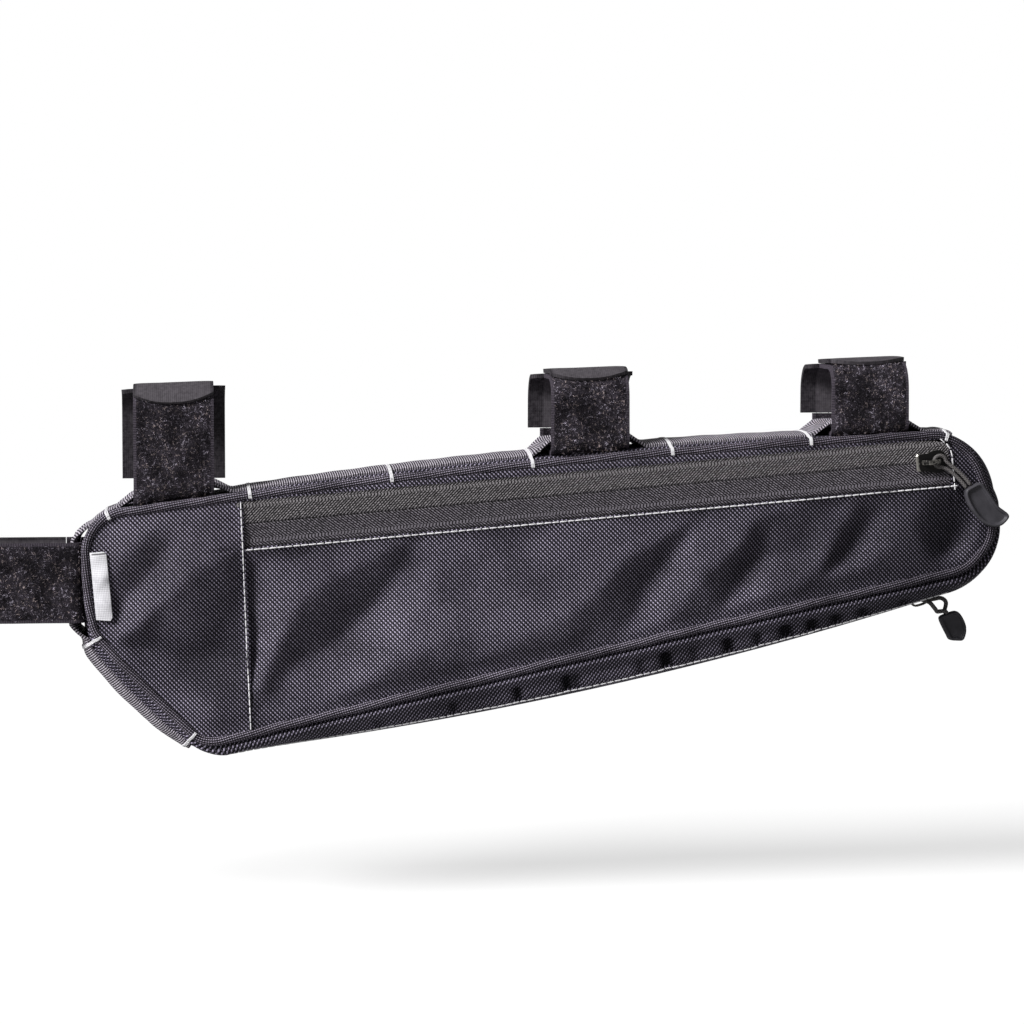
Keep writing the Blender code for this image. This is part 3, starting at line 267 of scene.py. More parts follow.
def tape_cloth():
    """Zip tape: herringbone either side of the join, with a row of dark slanted ticks near each edge."""
    cloth = Cloth("zip_tape_weave", 0.5, 0.1)
    away = cloth.v.absolute()
    stripe = (cloth.u * (TURN / (1.65 * MM)) - away * (TURN / (1.45 * MM))).sine().smooth(-0.7, 0.8)
    grain = cloth.noise(1100.0, 1.0).smooth(0.32, 0.66)
    join = away.line(0.0, 0.36 * MM) * 0.8
    slant = cloth.u + away * 0.25
    dash = ((slant * (1 / (1.57 * MM))).fraction() - 0.5).absolute().smooth(0.12, 0.24)
    row = away.line(8.5 * MM, 0.9 * MM).smooth(0.0, 0.5)
    edge = away.smooth(10.6 * MM, 11.6 * MM)
    thread = stripe * (cloth.v.ribs(1.05 * MM, 0.8) * 0.6 + 0.4)
    cover = thread * (grain * 0.9 + 0.3) * (1 - row) + row * dash * 0.62
    share = cover * (1 - join) * (1 - edge * 0.8)
    pale = cloth.net.mix(cloth.v.smooth(-2.0 * MM, 2.0 * MM), (0.30, 0.275, 0.315), (0.37, 0.345, 0.36))
    height = thread + row * dash * 0.5 - join * 2 - edge * 0.6
    return cloth.finish(share.least(1.0), (0.0035, 0.003, 0.0035), pale, height, 0.12 * MM)


def webbing_cloth():
    """Flat webbing with fine ribs across its width."""
    cloth = Cloth("ribbed_webbing", 0.55, 0.12)
    rib = cloth.u.ribs(1.12 * MM)
    row = cloth.v.ribs(2.4 * MM)
    grain = cloth.noise(800.0, 2.0).smooth(0.25, 0.75)
    # The ribs' light tops are painted highlight over the dark webbing.
    share = rib ** 2 * (row * 0.35 + 0.65) * (grain * 0.9 + 0.5)
    return cloth.finish(share.least(1.0), (0.030, 0.027, 0.034), (0.78, 0.72, 0.81), rib + row * 0.2, 0.3 * MM)


def worn_patches(cloth):
    """Slow patches where the nap is worn thin."""
    return cloth.noise(95.0, 2.0).smooth(0.35, 0.68) * 0.8 + 0.35


def loop_cloth():
    """Ground of the loop tape under its nap, with plain selvages."""
    cloth = Cloth("loop_nap", 0.8, 0.05)
    curl = cloth.noise(1500.0, 3.0, 0.7)
    tuft = cloth.noise(330.0, 3.0, 0.6)
    edge = cloth.v.absolute().smooth(17.2 * MM, 17.9 * MM)
    ground = (tuft * 0.22 + curl.smooth(0.56, 0.70) * tuft * 1.8) * worn_patches(cloth) * (1 - edge)
    share = ground + edge * (cloth.u.ribs(0.8 * MM) * 0.3 + 0.05)
    return cloth.finish(share.least(1.0), (0.003, 0.0026, 0.0035), (0.29, 0.25, 0.31), curl * 0.7 + tuft * 0.6,
                        0.6 * MM)


def hook_cloth():
    """Back of the hook tape: smooth, matt and dense."""
    cloth = Cloth("hook_tape_back", 0.5, 0.2)
    rib = cloth.v.ribs(0.95 * MM)
    pick = cloth.u.ribs(0.8 * MM)
    grain = cloth.noise(500.0, 3.0, 0.6)
    share = grain * 0.8 + rib * pick * 0.3 - cloth.v.absolute().smooth(17.0 * MM, 18.2 * MM) * 0.3
    return cloth.finish(share.most(0.0), (0.012, 0.010, 0.013), (0.130, 0.118, 0.132),
                        rib * 0.3 + pick * 0.2 + grain * 0.5, 0.12 * MM)


def nap_fibre():
    """Threads of the nap: some pale, some dark, in patches."""
    cloth = Cloth("nap_fibre", 0.4, 0.1)
    tint = cloth.noise(620.0, 2.0)
    pale = cloth.net.mix(cloth.noise(300.0, 1.0).smooth(0.45, 0.55), (0.80, 0.73, 0.88), (0.66, 0.54, 0.53))
    return cloth.finish(tint.smooth(0.48, 0.65) * worn_patches(cloth), (0.004, 0.0035, 0.0045), pale, tint,
                        0.05 * MM)


def slider_metal():
    """Dark enamel, worn to bare metal on its edges."""
    cloth = Cloth("worn_enamel", 0.32, 0.5, metallic=0.85)
    bare = (cloth.noise(420.0, 4.0, 0.6) * 0.55 + cloth.u * 0.6).smooth(0.52, 0.66)
    cloth.set("Roughness", 0.42 - bare * 0.14)
    return cloth.finish(bare, (0.018, 0.017, 0.017), (0.42, 0.40, 0.37), cloth.noise(1500.0, 2.0), 0.03 * MM)


def pull_rubber():
    cloth = Cloth("moulded_rubber", 0.5, 0.3)
    mottle = cloth.noise(120.0, 4.0, 0.6)
    cloth.set("Roughness", 0.40 + mottle * 0.25)
    return cloth.finish(mottle, (0.015, 0.0145, 0.0175), (0.078, 0.074, 0.086), cloth.noise(1900.0, 3.0), 0.05 * MM)


def pull_cord_cloth():
    """Braided cord: two sets of slanting strands."""
    cloth = Cloth("braided_cord", 0.6, 0.25)
    one, two = (((cloth.u + cloth.v * lean) * (TURN / (1.5 * MM))).sine() for lean in (1.2, -1.2))
    strand = one.most(two) * 0.5 + 0.5
    share = strand * 0.8 + cloth.noise(1100.0, 2.0) * 0.2
    return cloth.finish(share, (0.008, 0.007, 0.008), (0.135, 0.125, 0.125), strand, 0.14 * MM)


def thread_cloth():
    cloth = Cloth("white_thread", 0.6, 0.4)
    twist = (cloth.u + cloth.v).ribs(0.5 * MM)
    share = twist * 0.5 + cloth.noise(300.0, 2.0) * 0.5
    return cloth.finish(share, (0.62, 0.61, 0.63), (0.86, 0.85, 0.87), twist, 0.05 * MM)


def tag_cloth():
    """Plain satin tag with soft cross folds and a little grime."""
    cloth = Cloth("plain_tag_satin", 0.6, 0.2)
    weft = cloth.u.ribs(0.85 * MM)
    warp = cloth.v.ribs(0.8 * MM)
    grime = cloth.noise(150.0, 4.0, 0.65).smooth(0.45, 0.72)
    # Painted shade: a dark line in the slot at the tag's top fold.
    slot = cloth.u.line(1.0 * MM, 0.55 * MM) * cloth.v.smooth(0.5 * MM, 1.2 * MM)
    pale = cloth.net.mix(weft * 0.5 + warp * 0.5, (0.54, 0.53, 0.56), (0.82, 0.81, 0.85))
    dirty = cloth.net.mix(grime * 0.45, pale, (0.36, 0.35, 0.38))
    return cloth.finish(slot, dirty, (0.012, 0.012, 0.016), weft * 0.6 + warp * 0.4 - slot * 2, 0.10 * MM)


def coil_plastic():
    cloth = Cloth("coil_nylon", 0.38, 0.5)
    return cloth.finish(cloth.noise(200.0, 2.0), (0.012, 0.012, 0.013), (0.035, 0.035, 0.038),
                        cloth.noise(2600.0, 2.0), 0.03 * MM)


SHADES = {
    # The light colours of both weaves are the painted sheen of their crowns.
    "black_weave": oxford("oxford_nylon", (0.0020, 0.0018, 0.0030), (0.45, 0.405, 0.53), 1.06 * MM),
    "piping_weave": oxford("piping_cover", (0.0022, 0.0018, 0.0028), (0.46, 0.41, 0.51), 1.1 * MM, 0.85),
    "zip_tape": tape_cloth(),
    "zip_coil": coil_plastic(),
    "slider_metal": slider_metal(),
    "pull_cord": pull_cord_cloth(),
    "pull_rubber": pull_rubber(),
    "webbing": webbing_cloth(),
    "loop_tape": loop_cloth(),
    "hook_tape": hook_cloth(),
    "tag_cloth": tag_cloth(),
}
FIBRE = nap_fibre()
WHITE_THREAD = thread_cloth()


# Meshes


def keep(name, mesh, slot, body="bag", nodes=(), material=None):
    """Put a finished piece in the scene, on its body and in its material."""
    piece = bpy.data.objects.new(name, mesh)
    bpy.context.collection.objects.link(piece)
    mesh.materials.clear()
    mesh.materials.append(material or SHADES[slot])
    mesh.polygons.foreach_set("use_smooth", [True] * len(mesh.polygons))
    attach(piece, body)
    if nodes:
        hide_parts(*nodes)
    return piece


@contextmanager
def editing(mesh):
    """Open a mesh for editing, and put the changes back."""
    work = bmesh.new()
    work.from_mesh(mesh)
    yield work
    work.to_mesh(mesh)
    work.free()


def mesh_of(name, points, faces, flat=None):
    """Mesh with its cloth coordinates, in metres, one pair for each point."""
    mesh = bpy.data.meshes.new(name)
    mesh.from_pydata([tuple(p) for p in points], [], faces)
    if flat is not None:
        layer = mesh.uv_layers.new(name="cloth")
        index = np.empty(len(mesh.loops), dtype=np.int32)
        mesh.loops.foreach_get("vertex_index", index)
        layer.data.foreach_set("uv", np.asarray(flat, dtype=np.float32)[index].ravel())
    mesh.update()
    return mesh


def mark_painted_shade(mesh, values):
    """Store painted shade at each point: the cloth's colour is darkened by it."""
    layer = mesh.attributes.new("hollow", "FLOAT", "POINT")
    layer.data.foreach_set("value", np.asarray(values, dtype=np.float32).ravel())


def grid_mesh(name, rows, flat, closed=False):
    """Skin over rows of points; closed joins the last row to the first."""
    rows = np.asarray(rows)
    count, width = rows.shape[:2]
    faces = []
    for i in range(count if closed else count - 1):
        k = (i + 1) % count
        faces += [(i * width + j, i * width + j + 1, k * width + j + 1, k * width + j) for j in range(width - 1)]
    return mesh_of(name, rows.reshape(-1, 3), faces, np.asarray(flat).reshape(-1, 2))


def skin(name, stops, count, spot):
    """Skin along stops: spot gives a point and its cloth coordinates at each share of the width."""
    rows = [zip(*[spot(stop, k / (count - 1)) for k in range(count)]) for stop in stops]
    return grid_mesh(name, *zip(*rows))


def stacked(rings):
    """Points and faces of a solid made of rings of points, one over the other."""
    count = len(rings[0])
    last = len(rings) - 1
    faces = [tuple(range(count)), tuple(range(last * count, (last + 1) * count))]
    for k in range(last):
        for j in range(count):
            n = (j + 1) % count
            faces.append((k * count + j, k * count + n, (k + 1) * count + n, (k + 1) * count + j))
    return [tuple(p) for ring in rings for p in ring], faces


def sheet(name, mesh, slot, thickness, nodes, centre=BAG_MIDDLE, body="bag"):
    """Keep an open skin with a thickness: its outer face away from a centre, its wall inwards."""
    if sum(face.normal.dot(face.center - Vector(centre)) * face.area for face in mesh.polygons) < 0:
        mesh.flip_normals()
    piece = keep(name, mesh, slot, body, nodes)
    wall = piece.modifiers.new("wall", "SOLIDIFY")
    wall.thickness = thickness
    wall.offset = -1.0
    with editing(mesh) as work:
        for edge in work.edges:
            edge.smooth = not edge.is_boundary
    return piece


def tidy(mesh, ends=False):
    """Merge doubled points, close open ends and turn every face outwards."""
    with editing(mesh) as work:
        bmesh.ops.remove_doubles(work, verts=work.verts[:], dist=1e-7)
        if ends:
            bmesh.ops.holes_fill(work, edges=work.edges[:], sides=0)
        work.normal_update()
        bmesh.ops.recalc_face_normals(work, faces=work.faces[:])
    return mesh


def closed(mesh):
    """Split a mesh's end faces into triangles and turn every face outwards."""
    with editing(mesh) as work:
        work.normal_update()
        bmesh.ops.triangulate(work, faces=[f for f in work.faces if len(f.verts) > 4])
        bmesh.ops.recalc_face_normals(work, faces=work.faces[:])
    return mesh


def run_lengths(points):
    """Length of a line up to each of its points."""
    return np.concatenate(([0.0], np.cumsum(np.linalg.norm(np.diff(points, axis=0), axis=1))))


def dense(points, step=2.0 * MM, count=None):
    """Even points along a broken line, by their distance or their number."""
    points = np.array(points)
    lengths = run_lengths(points)
    places = np.linspace(0, lengths[-1], count or max(2, int(lengths[-1] / step) + 1))
    return np.stack([np.interp(places, lengths, axis) for axis in points.T], axis=1)


def left_normals(line):
    """Normals to the left of a flat line."""
    runs = np.gradient(line, axis=0)
    runs /= np.linalg.norm(runs, axis=1)[:, None]
    return np.stack((-runs[:, 1], runs[:, 0]), axis=1)


def tube_mesh(name, line, radius, sides, closed=False, start_side=(0.0, 1.0, 0.0)):
    """Round cord along a line of points, with cloth coordinates along and round it."""
    line = np.asarray(line, dtype=float)
    runs = np.roll(line, -1, axis=0) - np.roll(line, 1, axis=0) if closed else np.gradient(line, axis=0)
    runs /= np.linalg.norm(runs, axis=1)[:, None]
    turns = np.linspace(0, TURN, sides + 1)[:, None]
    side = np.array(start_side)
    rings = []
    for spot, run in zip(line, runs):
        side = side - run * side.dot(run)
        side /= np.linalg.norm(side)
        rings.append(spot + (side * np.cos(turns) + np.cross(run, side) * np.sin(turns)) * radius)
    along = run_lengths(line)
    if closed:
        rings.append(rings[0])
        along = np.append(along, along[-1] + np.linalg.norm(line[0] - line[-1]))
    flat = np.stack(np.meshgrid(along, turns * radius, indexing="ij"), axis=2)
    return tidy(grid_mesh(name, rings, flat), ends=not closed)


def ease(x):
    x = np.clip(x, 0.0, 1.0)
    return x * x * (3 - 2 * x)


# Outlines


def corner_round(places, i, radius):
    """Start, end and centre of the arc that rounds a corner."""
    before = (places[i - 1] - places[i]).normalized()
    after = (places[(i + 1) % 5] - places[i]).normalized()
    half = before.angle(after) / 2
    reach = radius / math.tan(half)
    centre = places[i] + (before + after).normalized() * (radius / math.sin(half))
    return places[i] + before * reach, places[i] + after * reach, centre


def bow_circle(start, end, bow):
    """Centre and radius of the arc that bows out from a chord."""
    chord = end - start
    right = Vector((chord.y, -chord.x)).normalized()
    radius = (chord.length ** 2 / 4 + bow * bow) / (2 * abs(bow))
    return (start + end) / 2 + right * (bow - math.copysign(radius, bow)), radius


def rounded(corners, step):
    """Points round five rounded corners, closely spaced, and where each rounding starts and ends."""
    places = [Vector(c[:2]) for c in corners]
    rounds = [corner_round(places, i, corner[2]) for i, corner in enumerate(corners)]
    points = []
    marks = []
    for i, corner in enumerate(corners):
        start, end, centre = rounds[i]
        marks.append(len(points))
        points += arc_points(centre, start, end, corner[2], step)
        marks.append(len(points) - 1)
        points += bowed_points(end, rounds[(i + 1) % 5][0], corner[3], step)[1:-1]
    return np.array([tuple(p) for p in points]), marks


def arc_points(centre, start, end, radius, step):
    """Points along the shorter arc between two places."""
    a = math.atan2(start.y - centre.y, start.x - centre.x)
    b = math.atan2(end.y - centre.y, end.x - centre.x)
    sweep = (b - a + math.pi) % TURN - math.pi
    count = max(2, round(abs(sweep) * radius / step))
    turns = [a + sweep * k / count for k in range(count + 1)]
    return [centre + Vector((math.cos(t), math.sin(t))) * radius for t in turns]


def bowed_points(start, end, bow, step):
    """Points along a line that bows out by a height, or in by a negative one."""
    count = max(2, round((end - start).length / step))
    if not bow:
        return [start.lerp(end, k / count) for k in range(count + 1)]
    centre, radius = bow_circle(start, end, bow)
    return arc_points(centre, start, end, radius, step)


def outward(points):
    """Outward normals of a closed line that runs with its inside on the left."""
    run = np.roll(points, -1, axis=0) - np.roll(points, 1, axis=0)
    run /= np.linalg.norm(run, axis=1)[:, None]
    return np.stack((run[:, 1], -run[:, 0]), axis=1)


def heights_over(points, normals, keel):
    """Height of the keel line over each seam point, square to the seam."""
    a = np.roll(keel, 1, axis=0)
    heights = []
    for point, out in zip(points, normals):
        before = out[0] * (a[:, 1] - point[1]) - out[1] * (a[:, 0] - point[0])
        after = out[0] * (keel[:, 1] - point[1]) - out[1] * (keel[:, 0] - point[0])
        hit = (before * after <= 0) & (before != after)
        share = (before[hit] / (before[hit] - after[hit]))[:, None]
        crossing = a[hit] + (keel[hit] - a[hit]) * share
        found = (crossing - point) @ out
        heights.append(found[np.argmin(np.abs(found))])
    return np.array(heights)


SEAM, MARKS = rounded(SEAM_CORNERS, 2.0 * MM)
SEAM_OUT = outward(SEAM)
KEEL, _ = rounded(KEEL_CORNERS, 1.0 * MM)
HEIGHT = heights_over(SEAM, SEAM_OUT, KEEL)
STATIONS = len(SEAM)
SEAM_RUN = run_lengths(SEAM)
# How boxy the gusset's section is: fully along the bottom, easing off round its corners
BOXY = np.interp(range(STATIONS), MARKS[4:8], (0, 1, 1, 0))
ROUNDNESS = TOP_ROUNDNESS + (BOTTOM_ROUNDNESS - TOP_ROUNDNESS) * BOXY


def seam_distance(points):
    """Distance from points inside the panel to the seam line."""
    best = np.full(len(points), 1.0)
    for start, run in zip(SEAM, np.roll(SEAM, -1, axis=0) - SEAM):
        away = points - start
        t = np.clip(away @ run / run.dot(run), 0.0, 1.0)
        best = np.minimum(best, np.linalg.norm(away - t[:, None] * run, axis=1))
    return best


def inside(points, ring):
    """Which points lie inside a closed ring."""
    found = np.zeros(len(points), dtype=bool)
    for a, b in zip(ring, np.roll(ring, -1, axis=0)):
        if a[1] == b[1]:
            continue
        spans = (a[1] > points[:, 1]) != (b[1] > points[:, 1])
        reach = a[0] + (points[:, 1] - a[1]) / (b[1] - a[1]) * (b[0] - a[0])
        found ^= spans & (points[:, 0] < reach)
    return found


def left_of(start, end, points):
    """Signed distance of points to the left of a line."""
    start = np.array(start)
    run = np.array(end) - start
    run = run / np.linalg.norm(run)
    away = points - start
    return run[0] * away[:, 1] - run[1] * away[:, 0]


# Side panels


def zip_place(along, up):
    """X and Z of a place on the side zip."""
    c = math.cos(SIDE_ZIP_SLOPE)
    s = math.sin(SIDE_ZIP_SLOPE)
    return SIDE_ZIP_FRONT[0] + along * c - up * s, SIDE_ZIP_FRONT[1] + along * s + up * c


def across_zip(low, high, along=(-0.02, 0.5)):
    """Line between two places beside the side zip."""
    return zip_place(along[0], low), zip_place(along[1], high)


ZIP_REAR = (SIDE_ZIP_REAR_X - SIDE_ZIP_FRONT[0]) / math.cos(SIDE_ZIP_SLOPE)
ZIP_LOWER = across_zip(-ZIP_SHOWN, -ZIP_SHOWN)
ZIP_UPPER = across_zip(ZIP_UPPER_SHOWN, ZIP_UPPER_SHOWN)
ZIP_END = across_zip(-0.03, 0.03, (ZIP_REAR, ZIP_REAR))

# Ridges and valleys of the near side's folds: X, Z and height in millimetres at places along each
FOLDS = (
    ((-0.2141, -0.0551, 1), (-0.2226, -0.0631, 1.2), (-0.2320, -0.0725, 0.8)),
    ((-0.2028, -0.0585, -1.1), (-0.2132, -0.0726, -3.1), (-0.2289, -0.0896, -2.2)),
    ((-0.1731, -0.0629, 0.6), (-0.1835, -0.0681, 1.5), (-0.1977, -0.0775, 3), (-0.2072, -0.0869, 3.2),
     (-0.2191, -0.0987, 2.5), (-0.2318, -0.1061, 0.8)),
    ((-0.2323, -0.1137, -0.5), (-0.2238, -0.1096, -3.4), (-0.2144, -0.1087, -5.4), (-0.2003, -0.1127, -6.5),
     (-0.1862, -0.1147, -6.8), (-0.1686, -0.1154, -6.5)),
    ((-0.2145, -0.1268, 0.2), (-0.1981, -0.1389, 1), (-0.1839, -0.1420, 1.1), (-0.1688, -0.1427, 0.6)),
    ((-0.1702, -0.0421, 0), (-0.1698, -0.0611, -1), (-0.1689, -0.0682, -2.5), (-0.1685, -0.0873, -4.9),
     (-0.1676, -0.1063, -6.4), (-0.1675, -0.1154, -6.5), (-0.1668, -0.1302, -3), (-0.1659, -0.1456, -0.6)),
    ((-0.1661, -0.0711, -4.5), (-0.1552, -0.0688, -2), (-0.1409, -0.0651, -1.2)),
    ((-0.0947, -0.0606, 0.2), (-0.1147, -0.0710, 0.4), (-0.1291, -0.0781, 0.7), (-0.1434, -0.0880, 1.1),
     (-0.1491, -0.0994, 1.8), (-0.1549, -0.1089, 2.1), (-0.1587, -0.1184, 1.2), (-0.1616, -0.1303, 0.5)),
    ((-0.0856, -0.0574, -0.6), (-0.0956, -0.0736, -4.1), (-0.1052, -0.0878, -5.7), (-0.1172, -0.0997, -6.4),
     (-0.1268, -0.1092, -5.8), (-0.1411, -0.1148, -4.5), (-0.1506, -0.1242, -2.9), (-0.1569, -0.1352, -1.3)),
    ((-0.1435, -0.1200, -2.6), (-0.1349, -0.1278, -0.9), (-0.1378, -0.1340, -0.6)),
    ((0.0444, -0.0515, 0.3), (0.0298, -0.0601, 1.5), (0.0128, -0.0696, 2.9), (0.0007, -0.0840, 3.9),
     (-0.0138, -0.0954, 4.1), (-0.0332, -0.1058, 3.6), (-0.0477, -0.1124, 3.5), (-0.0573, -0.1167, 3.1),
     (-0.0693, -0.1146, 2.7), (-0.0789, -0.1106, 3.2), (-0.0909, -0.1144, 3.2), (-0.1029, -0.1214, 2.6),
     (-0.1197, -0.1318, 1.3), (-0.1269, -0.1360, 0.5)),
    ((-0.0765, -0.0689, -0.4), (-0.0837, -0.0880, 0.4), (-0.0933, -0.1033, 1.6)),
    ((-0.0380, -0.0620, 0.3), (-0.0476, -0.0836, 1.4), (-0.0549, -0.1027, 2.7)),
    ((0.0464, -0.0530, -1.1), (0.0362, -0.0659, -4.2), (0.0274, -0.0779, -5.7), (0.0216, -0.0880, -5.5),
     (0.0163, -0.0996, -2.5)),
    ((0.0114, -0.0841, -0.6), (0.0036, -0.0961, -0.3), (-0.0041, -0.1066, -0.4)),
    ((0.0772, -0.0498, 0.6), (0.0699, -0.0618, 2), (0.0601, -0.0705, 2), (0.0504, -0.0772, 2),
     (0.0406, -0.0906, 2.1), (0.0319, -0.1017, 1.1)),
    ((0.0865, -0.0513, -1.1), (0.0802, -0.0629, -4.8), (0.0743, -0.0735, -6.3), (0.0680, -0.0841, -5.7),
     (0.0636, -0.0923, -2.5)),
    ((0.0865, -0.0464, 0.8), (0.0958, -0.0455, 1.4), (0.1071, -0.0495, 0.7)),
    ((0.0861, -0.0658, -4.2), (0.0944, -0.0668, -4.2), (0.1043, -0.0664, -2.4)),
    ((0.0681, -0.0914, 0.6), (0.0813, -0.0886, 1.4), (0.0960, -0.0853, 1.5), (0.1058, -0.0757, 0.9)),
    ((0.1268, -0.0408, 0.4), (0.1190, -0.0534, 1.6), (0.1136, -0.0641, 1.8), (0.1088, -0.0733, 1.1)),
    ((0.1426, -0.0434, -0.9), (0.1338, -0.0506, -3.9), (0.1269, -0.0608, -5.4), (0.1196, -0.0695, -4.3),
     (0.1127, -0.0762, -1.7)),
    ((0.1624, -0.0406, 0.2), (0.1531, -0.0507, 0.6), (0.1448, -0.0633, 1), (0.1339, -0.0705, 1.3),
     (0.1231, -0.0758, 1.2), (0.1142, -0.0796, 0.6)),
    ((0.1813, -0.0436, -2), (0.1790, -0.0562, -5.9), (0.1751, -0.0674, -6.4), (0.1702, -0.0762, -2.7)),
)
FAR_SHIFT = np.array((-0.011, 0.004))
# Shares of the side zip's length at which the cloth below it is held flat
HELD_FLAT = (0.04, 0.10, 0.16, 0.22, 0.35, 0.45, 0.55, 0.65, 0.75, 0.85)


def ring_of(line):
    """Points and edges of a closed line."""
    return [tuple(p) for p in line], [(i, (i + 1) % len(line)) for i in range(len(line))]


def triangles_of(points, edges, nearness):
    """Triangles over points, with edges kept: their corners, the triangles, and which points each corner was."""
    found = geometry.delaunay_2d_cdt([Vector(p) for p in points], edges, [], 0, nearness)
    return np.array([tuple(p) for p in found[0]]), np.array([tuple(f) for f in found[2]]), found[3]


def fold_net():
    """Triangles over the side between the folds' lines and the rim, with a height at each corner."""
    points, edges = ring_of(SEAM[::4] - SEAM_OUT[::4] * PANEL_INSET)
    heights = [0.0] * len(points)
    for line in FOLDS:
        first = len(points)
        points += [p[:2] for p in line]
        heights += [p[2] * MM for p in line]
        edges += [(k, k + 1) for k in range(first, len(points) - 1)]
    for share in HELD_FLAT:
        points.append(zip_place(ZIP_REAR * share, -ZIP_SHOWN))
        heights.append(0.0)
    corners, triangles, sources = triangles_of(points, edges, 1e-7)
    return corners, [np.mean([heights[k] for k in source]) if source else 0.0 for source in sources], triangles


RASTER_STEP = 1.0 * MM
RASTER_LOW = np.array((-0.265, -0.185))
RASTER_SIZE = (500, 210)
SOFTNESS = 1.7


def fold_raster():
    """Heights of the folds on an even raster, with their edges softened."""
    corners, levels, triangles = fold_net()
    corners = (corners - RASTER_LOW) / RASTER_STEP
    total = np.zeros(RASTER_SIZE)
    for triangle in triangles:
        a, b, c = (corners[k] for k in triangle)
        area = (b[0] - a[0]) * (c[1] - a[1]) - (b[1] - a[1]) * (c[0] - a[0])
        if abs(area) < 1e-9:
            continue
        low = np.floor(np.min((a, b, c), axis=0)).astype(int)
        high = np.ceil(np.max((a, b, c), axis=0)).astype(int) + 1
        x, z = np.meshgrid(np.arange(low[0], high[0]), np.arange(low[1], high[1]), indexing="ij")
        p = ((x - a[0]) * (c[1] - a[1]) - (z - a[1]) * (c[0] - a[0])) / area
        q = ((z - a[1]) * (b[0] - a[0]) - (x - a[0]) * (b[1] - a[1])) / area
        held = (p >= 0) & (q >= 0) & (p + q <= 1)
        first, second, third = (levels[k] for k in triangle)
        total[x[held], z[held]] = (first + p * (second - first) + q * (third - first))[held]
    reach = np.arange(-6, 7)
    kernel = np.exp(-reach ** 2 / (2 * SOFTNESS ** 2))
    kernel /= kernel.sum()
    for axis in (0, 1):
        total = np.apply_along_axis(lambda line: np.convolve(line, kernel, "same"), axis, total)
    return total


FOLD_RASTER = fold_raster()


def fold_height(places):
    """Height of the folds at places on the side, read from the raster."""
    spot = (places - RASTER_LOW) / RASTER_STEP
    cell = np.clip(np.floor(spot).astype(int), 0, np.array(RASTER_SIZE) - 2)
    across, up = (spot - cell).T
    i, j = cell.T
    left = FOLD_RASTER[i, j] * (1 - up) + FOLD_RASTER[i, j + 1] * up
    right = FOLD_RASTER[i + 1, j] * (1 - up) + FOLD_RASTER[i + 1, j + 1] * up
    return left * (1 - across) + right * across


# Slow unevenness of the panels: a few crossed waves (length, direction, height, phase)
SLOW_WAVES = ((0.062, 0.9, 0.35 * MM, 0.4), (0.041, 2.2, 0.25 * MM, 1.7), (0.027, 1.3, 0.14 * MM, 2.9),
              (0.019, 0.2, 0.08 * MM, 0.8))


def ripple(x, z):
    return sum(height * np.sin(TURN * (x * math.cos(direction) + z * math.sin(direction)) / length + phase)
               for length, direction, height, phase in SLOW_WAVES)


def sewn_distance(points):
    """Distance to the lines that hold the near side's cloth flat: the upright seam and the zip's stitches."""
    seam = left_of(*SEAM_LINE, points)
    hem = left_of(*ZIP_LOWER, points)
    end = left_of(*ZIP_END, points)
    beside_zip = np.where((seam > 0) | (end < 0), 1.0, np.abs(hem))
    beside_end = np.where(hem < 0, 1.0, np.abs(end))
    return np.minimum(np.abs(seam), np.minimum(beside_zip, beside_end))


def panel_out(points, near=True):
    """Distance from the middle plane to a panel's outer face."""
    depth = np.maximum(seam_distance(points) - PANEL_INSET, 0.0)
    crown = PANEL_CROWN * (1 - (1 - np.minimum(depth / CROWN_REACH, 1.0)) ** 2)
    waves = ripple(*points.T)
    if near:
        folds = fold_height(points)
        waves = waves * ease(sewn_distance(points) / SEWN_FADE)
    else:
        folds = fold_height(points + FAR_SHIFT) * 0.6
    return PANEL_EDGE_Y + crown + (folds + waves * 0.8) * ease(depth / FOLD_FADE)


# Height of an even triangle, as a share of its side
ROW_SHARE = 0.866


def panel_sheet(cuts, spacing):
    """Even triangles inside the seam line, with edges along the cuts."""
    rim = SEAM - SEAM_OUT * (PANEL_INSET - UNDER_PIPING)
    points, edges = ring_of(rim)
    low = rim.min(axis=0)
    high = rim.max(axis=0)
    fill = []
    for k, z in enumerate(np.arange(low[1], high[1], spacing * ROW_SHARE)):
        shift = spacing / 2 if k % 2 else 0.0
        fill += [(x + shift, z) for x in np.arange(low[0], high[0], spacing)]
    fill = np.array(fill)
    fill = fill[inside(fill, rim)]
    away = seam_distance(fill) - PANEL_INSET > spacing * 0.6
    for start, end in cuts:
        away &= np.abs(left_of(start, end, fill)) > spacing * 0.45
    points += [tuple(p) for p in fill[away]]
    for start, end in cuts:
        edges.append((len(points), len(points) + 1))
        points += [start, end]
    flat, faces, _ = triangles_of(points, edges, 1e-6)
    return flat, faces[inside(flat[faces].mean(axis=1), rim)]


def panel(name, side, flat, faces, node, hem=None):
    """One side panel over its triangles, raised a little beside the line of its hem."""
    used, faces = np.unique(faces, return_inverse=True)
    faces = faces.reshape(-1, 3)
    flat = flat[used]
    out = panel_out(flat, side < 0)
    if hem:
        away = np.abs(left_of(*hem, flat))
        out += HEM_RISE * (1 - ease((away - 2.2 * MM) / (1.6 * MM)))
    if hem is ZIP_LOWER:
        above = left_of(*ZIP_UPPER, flat) > -1e-6
        depth = seam_distance(flat) - PANEL_INSET
        out = np.where(above, np.maximum(out, TAPE_Y + 0.9 * MM * ease(depth / (1.2 * MM))), out)
    points = np.stack((flat[:, 0], side * out, flat[:, 1]), axis=1)
    mesh = mesh_of(name, points, faces.tolist(), flat)
    if side < 0:
        # Painted shade on the fold flanks that face away from the key light, just left of each valley.
        mark_painted_shade(mesh, np.clip(-fold_height(flat + (4.5 * MM, 0.0)) / (6 * MM), 0, 1) * 0.45)
    sheet(name, mesh, "black_weave", CLOTH, (node,))


